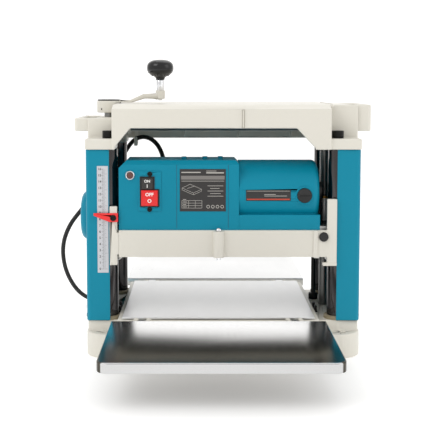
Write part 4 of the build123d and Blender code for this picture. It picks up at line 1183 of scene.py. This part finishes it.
    def switch_part(self, name: str, finish: Finish, front: bool) -> bpy.types.Object:
        """The part of the switch plate in front of its panel's face, or the part behind it.

        Args:
            name: the new piece's name.
            finish: its finish.
            front: whether the front part is kept.

        Returns:
            The closed part.
        """
        shape = bmesh.new()
        shape.from_mesh(self.shop.frame["nodes"]["switch_plate"].data)
        bmesh.ops.remove_doubles(shape, verts=shape.verts, dist=1e-5)
        cut = bmesh.ops.bisect_plane(
            shape, geom=shape.verts[:] + shape.edges[:] + shape.faces[:], dist=1e-7,
            plane_co=(0, self.panel_face * MM, 0), plane_no=(0, 1, 0), clear_inner=not front,
            clear_outer=front,
        )["geom_cut"]
        rim = [edge for edge in cut if isinstance(edge, bmesh.types.BMEdge)]
        bmesh.ops.triangle_fill(shape, use_beauty=True, edges=rim)
        bmesh.ops.recalc_face_normals(shape, faces=shape.faces)
        return made_object(name, shape, finish)

    def lamp(self) -> None:
        """The overload lamp's ring, its bright inner rim and its tinted lens."""
        self.shop.rounded("lamp_bezel", BLUE_SHELL, "head", "light_plastic", 0.3, 2)
        self.shop.dress("lamp_lens", LENS)
        shape = bmesh.new()
        outline = [
            (5.55, 0.3), (5.55, -0.5), (6.0, -0.9), (6.7, -0.9), (7.2, -0.4), (7.2, 0.3),
            (5.55, 0.3),
        ]
        x, z = self.lamp_spot
        turned(shape, outline, (x, self.lamp_face, z), Axis.Y, 40)
        self.shop.hand_in(made_object("lamp_rim", shape, CHROME), "head", "light_plastic")

    def inner_works(self) -> None:
        """The finishes of what sits inside the head."""
        for finish, nodes in (
            (BRONZE, ("lift_nuts", "column_bushes")),
            (COPPER, ("motor_stator", "armature")),
            (GRAPHITE, ("carbon_brushes",)),
            (RUBBER, ("drive_belt",)),
            (STEEL_X, ("feed_chain", "drum_bearings")),
            (ALLOY, ("roller_blocks",)),
        ):
            for node in nodes:
                self.shop.dress(node, finish)
        self.shop.rounded("belt_cover", BLACK_PLASTIC, "head", "black_plastic", 0.8)


@dataclass
class DrumAndRollers:
    """The cutter drum with its knives, and the two ribbed feed rollers."""

    shop: Shop
    roller_y: float = 46.0
    roller_z: float = 169.5
    roller_radius: float = 14.5
    tyre: tuple[float, float] = (-160.0, 144.0)
    groove: float = 0.9
    pitch: float = 8.0

    def build(self) -> None:
        """Dresses the drum and puts grooved tyres on the rollers."""
        for node, finish in (
            ("cutter_drum", STEEL_X), ("planer_knives", CHROME), ("set_plates", STEEL_X),
            ("infeed_roller", RUBBER), ("outfeed_roller", RUBBER),
        ):
            self.shop.dress(node, finish)
        for body, y in (("infeed", -self.roller_y), ("outfeed", self.roller_y)):
            self.tyre_rings(f"{body}_tyre_rings", body, y)

    def tyre_rings(self, name: str, body: str, y: float) -> None:
        """Low rings round a roller's rubber, between its grooves."""
        shape = bmesh.new()
        r = self.roller_radius
        outline = []
        x = self.tyre[0] + 1.0
        while x + self.pitch < self.tyre[1]:
            outline += [
                (r - self.groove, x), (r - 0.05, x + 0.6), (r - 0.05, x + 6.4),
                (r - self.groove, x + 7.0),
            ]
            x += self.pitch
        outline = [(r - 2.0, outline[0][1])] + outline + [(r - 2.0, outline[-1][1])]
        turned(shape, outline + outline[:1], (0.0, y, self.roller_z), Axis.X, 40)
        self.shop.hand_in(made_object(name, shape, RUBBER), body, "rubber")


# ---------------------------------------------------------------- mains cord


@dataclass
class MainsCord:
    """One mains lead: out of the head, over the hook, down to its coil and its plug."""

    shop: Shop
    radius: float = 4.0
    length: float = 2.525
    exit: Point = (-100.0, 14.0, 276.0)
    lead: tuple[Point, ...] = (
        (-100, 14, 276), (-100, 46, 281), (-102, 67, 304), (-114, 84, 328), (-135, 100, 340),
        (-158, 114, 334), (-175, 121, 310),
    )
    drop: tuple[Point, ...] = (
        (-201, 123, 264), (-228, 124, 236), (-256, 126, 203), (-281, 132, 172), (-297, 148, 130),
        (-295, 172, 78), (-275, 203, 29), (-243, 231, 4.6), (-201, 243, 4), (-166, 237, 4),
        (-144, 227.5, 4),
    )
    tail: tuple[Point, ...] = (
        (-64, 202.5, 5.5), (-44, 201, 4), (-8, 212, 6), (20, 234, 13), (48, 256, 17),
    )
    coil_centre: tuple[float, float] = (-95.0, 262.0)
    coil_radii: tuple[float, float, float] = (52.0, 43.7, 35.4)
    coil_levels: tuple[float, float] = (4.0, 12.1)
    first_angle: float = -136.0
    last_angle: float = -83.0
    turn_points: int = 16
    last_step: float = 8.4
    step_over: tuple[float, float] = (0.80, 0.20)
    climb: tuple[float, float] = (2.58, 0.22)
    descent: tuple[float, float] = (6.04, 0.14)
    guard_start: float = -25.0
    guard_radii: tuple[float, float] = (7.4, 5.2)
    guard_rings: int = 8
    bend_from: Point = (-100.0, 105.0, 276.0)
    bend_to: Point = (-100.0, 20.0, 276.0)

    def build(self) -> None:
        guard = self.guard()
        plug = self.shop.rounded("plug", RUBBER, "frame", "rubber", 0.8)
        self.shop.dress("plug_pins", BRASS)
        piece, path = self.tube()
        scaled(self.bend_from)
        scaled(self.bend_to)
        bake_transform(piece)
        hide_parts("cord_lead", "cord_drop", "cord_coil")
        scaled(self.exit)
        log.info("%s bends between the frame and the head", piece.name)

    def coil(self) -> list[Point]:
        """The coil's control points: three turns inwards, then three outwards on top of them.

        Returns:
            Points in millimetres. The step over, the climb and the descent are each told as the
            turn at which they start and the part of a turn that they take.
        """
        outer, middle, inner = self.coil_radii
        radii = (outer, middle, inner, inner, middle, outer, outer + self.last_step)
        low, high = self.coil_levels
        swell = 1.0 / (0.5 + 0.5 * math.cos(math.tau / self.turn_points / 2) ** 2) ** 0.5
        rest = (self.last_angle - self.first_angle) / 360
        count = int((len(radii) - 1) * self.turn_points + rest * self.turn_points) + 1
        points = []
        for i in range(count):
            turn = i / self.turn_points
            index, part = int(turn), turn - int(turn)
            shift = smooth((part - self.step_over[0]) / self.step_over[1])
            following = radii[min(index + 1, len(radii) - 1)]
            radius = radii[index] + (following - radii[index]) * shift
            rise = smooth((turn - self.climb[0]) / self.climb[1])
            fall = smooth((turn - self.descent[0]) / self.descent[1])
            level = low + (high - low) * (rise - fall)
            angle = math.radians(self.first_angle) + math.tau * turn
            x = self.coil_centre[0] + radius * swell * math.cos(angle)
            y = self.coil_centre[1] + radius * swell * math.sin(angle)
            points.append((x, y, level))
        return points

    def tube(self) -> tuple[bpy.types.Object, list[Point]]:
        """The tube along one smooth spline.

        Returns:
            The tube's object, and the points that its centre follows.
        """
        route = [*self.lead, *self.drop, *self.coil(), *self.tail]
        curve = bpy.data.curves.new("mains_cord_line", "CURVE")
        curve.dimensions = "3D"
        spline = curve.splines.new("NURBS")
        spline.points.add(len(route) - 1)
        for point, place in zip(spline.points, route):
            point.co = (*scaled(place), 1.0)
        spline.order_u = 3
        spline.use_endpoint_u = True
        spline.resolution_u = 6
        holder = bpy.data.objects.new("mains_cord_line", curve)
        bpy.context.scene.collection.objects.link(holder)
        line = bpy.data.meshes.new_from_object(evaluated(holder))
        path = [tuple(vert.co) for vert in line.vertices]
        curve.bevel_depth = self.radius * MM
        curve.bevel_resolution = 4
        curve.use_fill_caps = True
        mesh = bpy.data.meshes.new_from_object(evaluated(holder))
        shape = bmesh.new()
        shape.from_mesh(mesh)
        bmesh.ops.remove_doubles(shape, verts=shape.verts, dist=1e-6)
        bmesh.ops.recalc_face_normals(shape, faces=shape.faces)
        bpy.data.objects.remove(holder)
        bpy.data.curves.remove(curve)
        bpy.data.meshes.remove(line)
        bpy.data.meshes.remove(mesh)
        return made_object("mains_cord", shape, CORD_RUBBER, 60.0), path

    def guard(self) -> bpy.types.Object:
        """The ribbed strain relief in the housing's rear wall."""
        shape = bmesh.new()
        x, tip, z = self.exit
        root, end = self.guard_radii
        reach = tip - self.guard_start
        outline = [(0.0, -4.0), (5.9, -4.0), (5.9, 0.0), (root, 0.0)]
        for i in range(self.guard_rings):
            along = 2.0 + i * (reach - 4.0) / self.guard_rings
            radius = root + (end - root) * along / reach
            outline += [
                (radius, along), (radius - 0.9, along + 0.5), (radius - 0.9, along + 1.9),
                (radius - 0.1, along + 2.4),
            ]
        outline += [(end, reach - 0.5), (end - 0.4, reach), (0.0, reach)]
        turned(shape, outline, (x, self.guard_start, z), Axis.Y, 32)
        boot = made_object("cord_boot", shape, RUBBER)
        return self.shop.hand_in(boot, "head", "rubber", "cord_guard")


# ---------------------------------------------------------------- studio


@dataclass
class Studio:
    """The pale floor, the soft lights and the camera."""

    eye: Point = (-0.0350, -1.5908, 0.4306)
    tilt: float = 85.5
    lens: float = 76.42
    shift: tuple[float, float] = (0.0426, -0.138)
    sky: float = 0.86
    lights: tuple[tuple[str, Point, float, float], ...] = (
        ("key", (-1.5, -1.4, 1.9), 1.3, 14.0),
        ("fill", (2.0, -1.0, 1.2), 1.4, 6.0),
        ("top", (0.2, 0.9, 2.4), 1.8, 9.0),
    )

    def build(self) -> None:
        """Builds the studio."""
        self.floor()
        self.world()
        for name, place, size, power in self.lights:
            self.light(name, place, size, power)
        self.camera()
        bpy.context.scene.view_settings.view_transform = "Standard"

    def floor(self) -> None:
        """A wide floor that turns up into a wall far behind."""
        shape = bmesh.new()
        places = [(-2.2, 0.0), (3.0, 0.0), (3.6, 0.15), (3.9, 0.6), (4.0, 1.4), (4.0, 4.0)]
        line = [shape.verts.new((-4.0, y, z - 0.0002)) for y, z in places]
        edges = [shape.edges.new(pair) for pair in zip(line, line[1:])]
        side = bmesh.ops.extrude_edge_only(shape, edges=edges)["geom"]
        moved = [item for item in side if isinstance(item, bmesh.types.BMVert)]
        bmesh.ops.translate(shape, verts=moved, vec=(8.0, 0.0, 0.0))
        bmesh.ops.recalc_face_normals(shape, faces=shape.faces)
        made_object("studio_floor", shape, FLOOR, 80.0)

    def world(self) -> None:
        """An even white sky."""
        world = bpy.data.worlds.new("studio_sky")
        world.use_nodes = True
        background = world.node_tree.nodes["Background"]
        background.inputs["Color"].default_value = (1.0, 1.0, 1.0, 1.0)
        background.inputs["Strength"].default_value = self.sky
        bpy.context.scene.world = world

    def light(self, name: str, place: Point, size: float, power: float) -> None:
        """A square soft light that points at the machine.

        Args:
            name: the light's name.
            place: where it hangs, in metres.
            size: the length of its side, in metres.
            power: its power in watts.
        """
        lamp = bpy.data.lights.new(f"{name}_light", "AREA")
        lamp.shape = "SQUARE"
        lamp.size = size
        lamp.energy = power
        holder = bpy.data.objects.new(f"{name}_light", lamp)
        holder.location = place
        aim = Vector((0.0, 0.0, 0.2)) - Vector(place)
        holder.rotation_euler = aim.to_track_quat("-Z", "Y").to_euler()
        bpy.context.scene.collection.objects.link(holder)

    def camera(self) -> None:
        """The camera, a little above the machine's top and looking slightly down."""
        lens = bpy.data.cameras.new("camera")
        lens.lens = self.lens
        lens.sensor_width = 36.0
        lens.shift_x, lens.shift_y = self.shift
        lens.clip_end = 50.0
        holder = bpy.data.objects.new("camera", lens)
        holder.location = self.eye
        holder.rotation_euler = (math.radians(self.tilt), 0.0, 0.0)
        bpy.context.scene.collection.objects.link(holder)
        bpy.context.scene.camera = holder


def main() -> None:
    """Builds the machine round its frame, then the studio."""
    logging.basicConfig(level=logging.INFO, format="%(message)s")
    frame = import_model()
    shop = Shop(frame)
    for assembly in (
        MainsCord(shop), Base(shop), SideCovers(shop), UpperFrame(shop), LiftingGear(shop),
        CutterHead(shop), DrumAndRollers(shop),
    ):
        assembly.build()
    Studio().build()
    log.info("%d pieces are in place", shop.count)


if __name__ == "__main__":
    main()
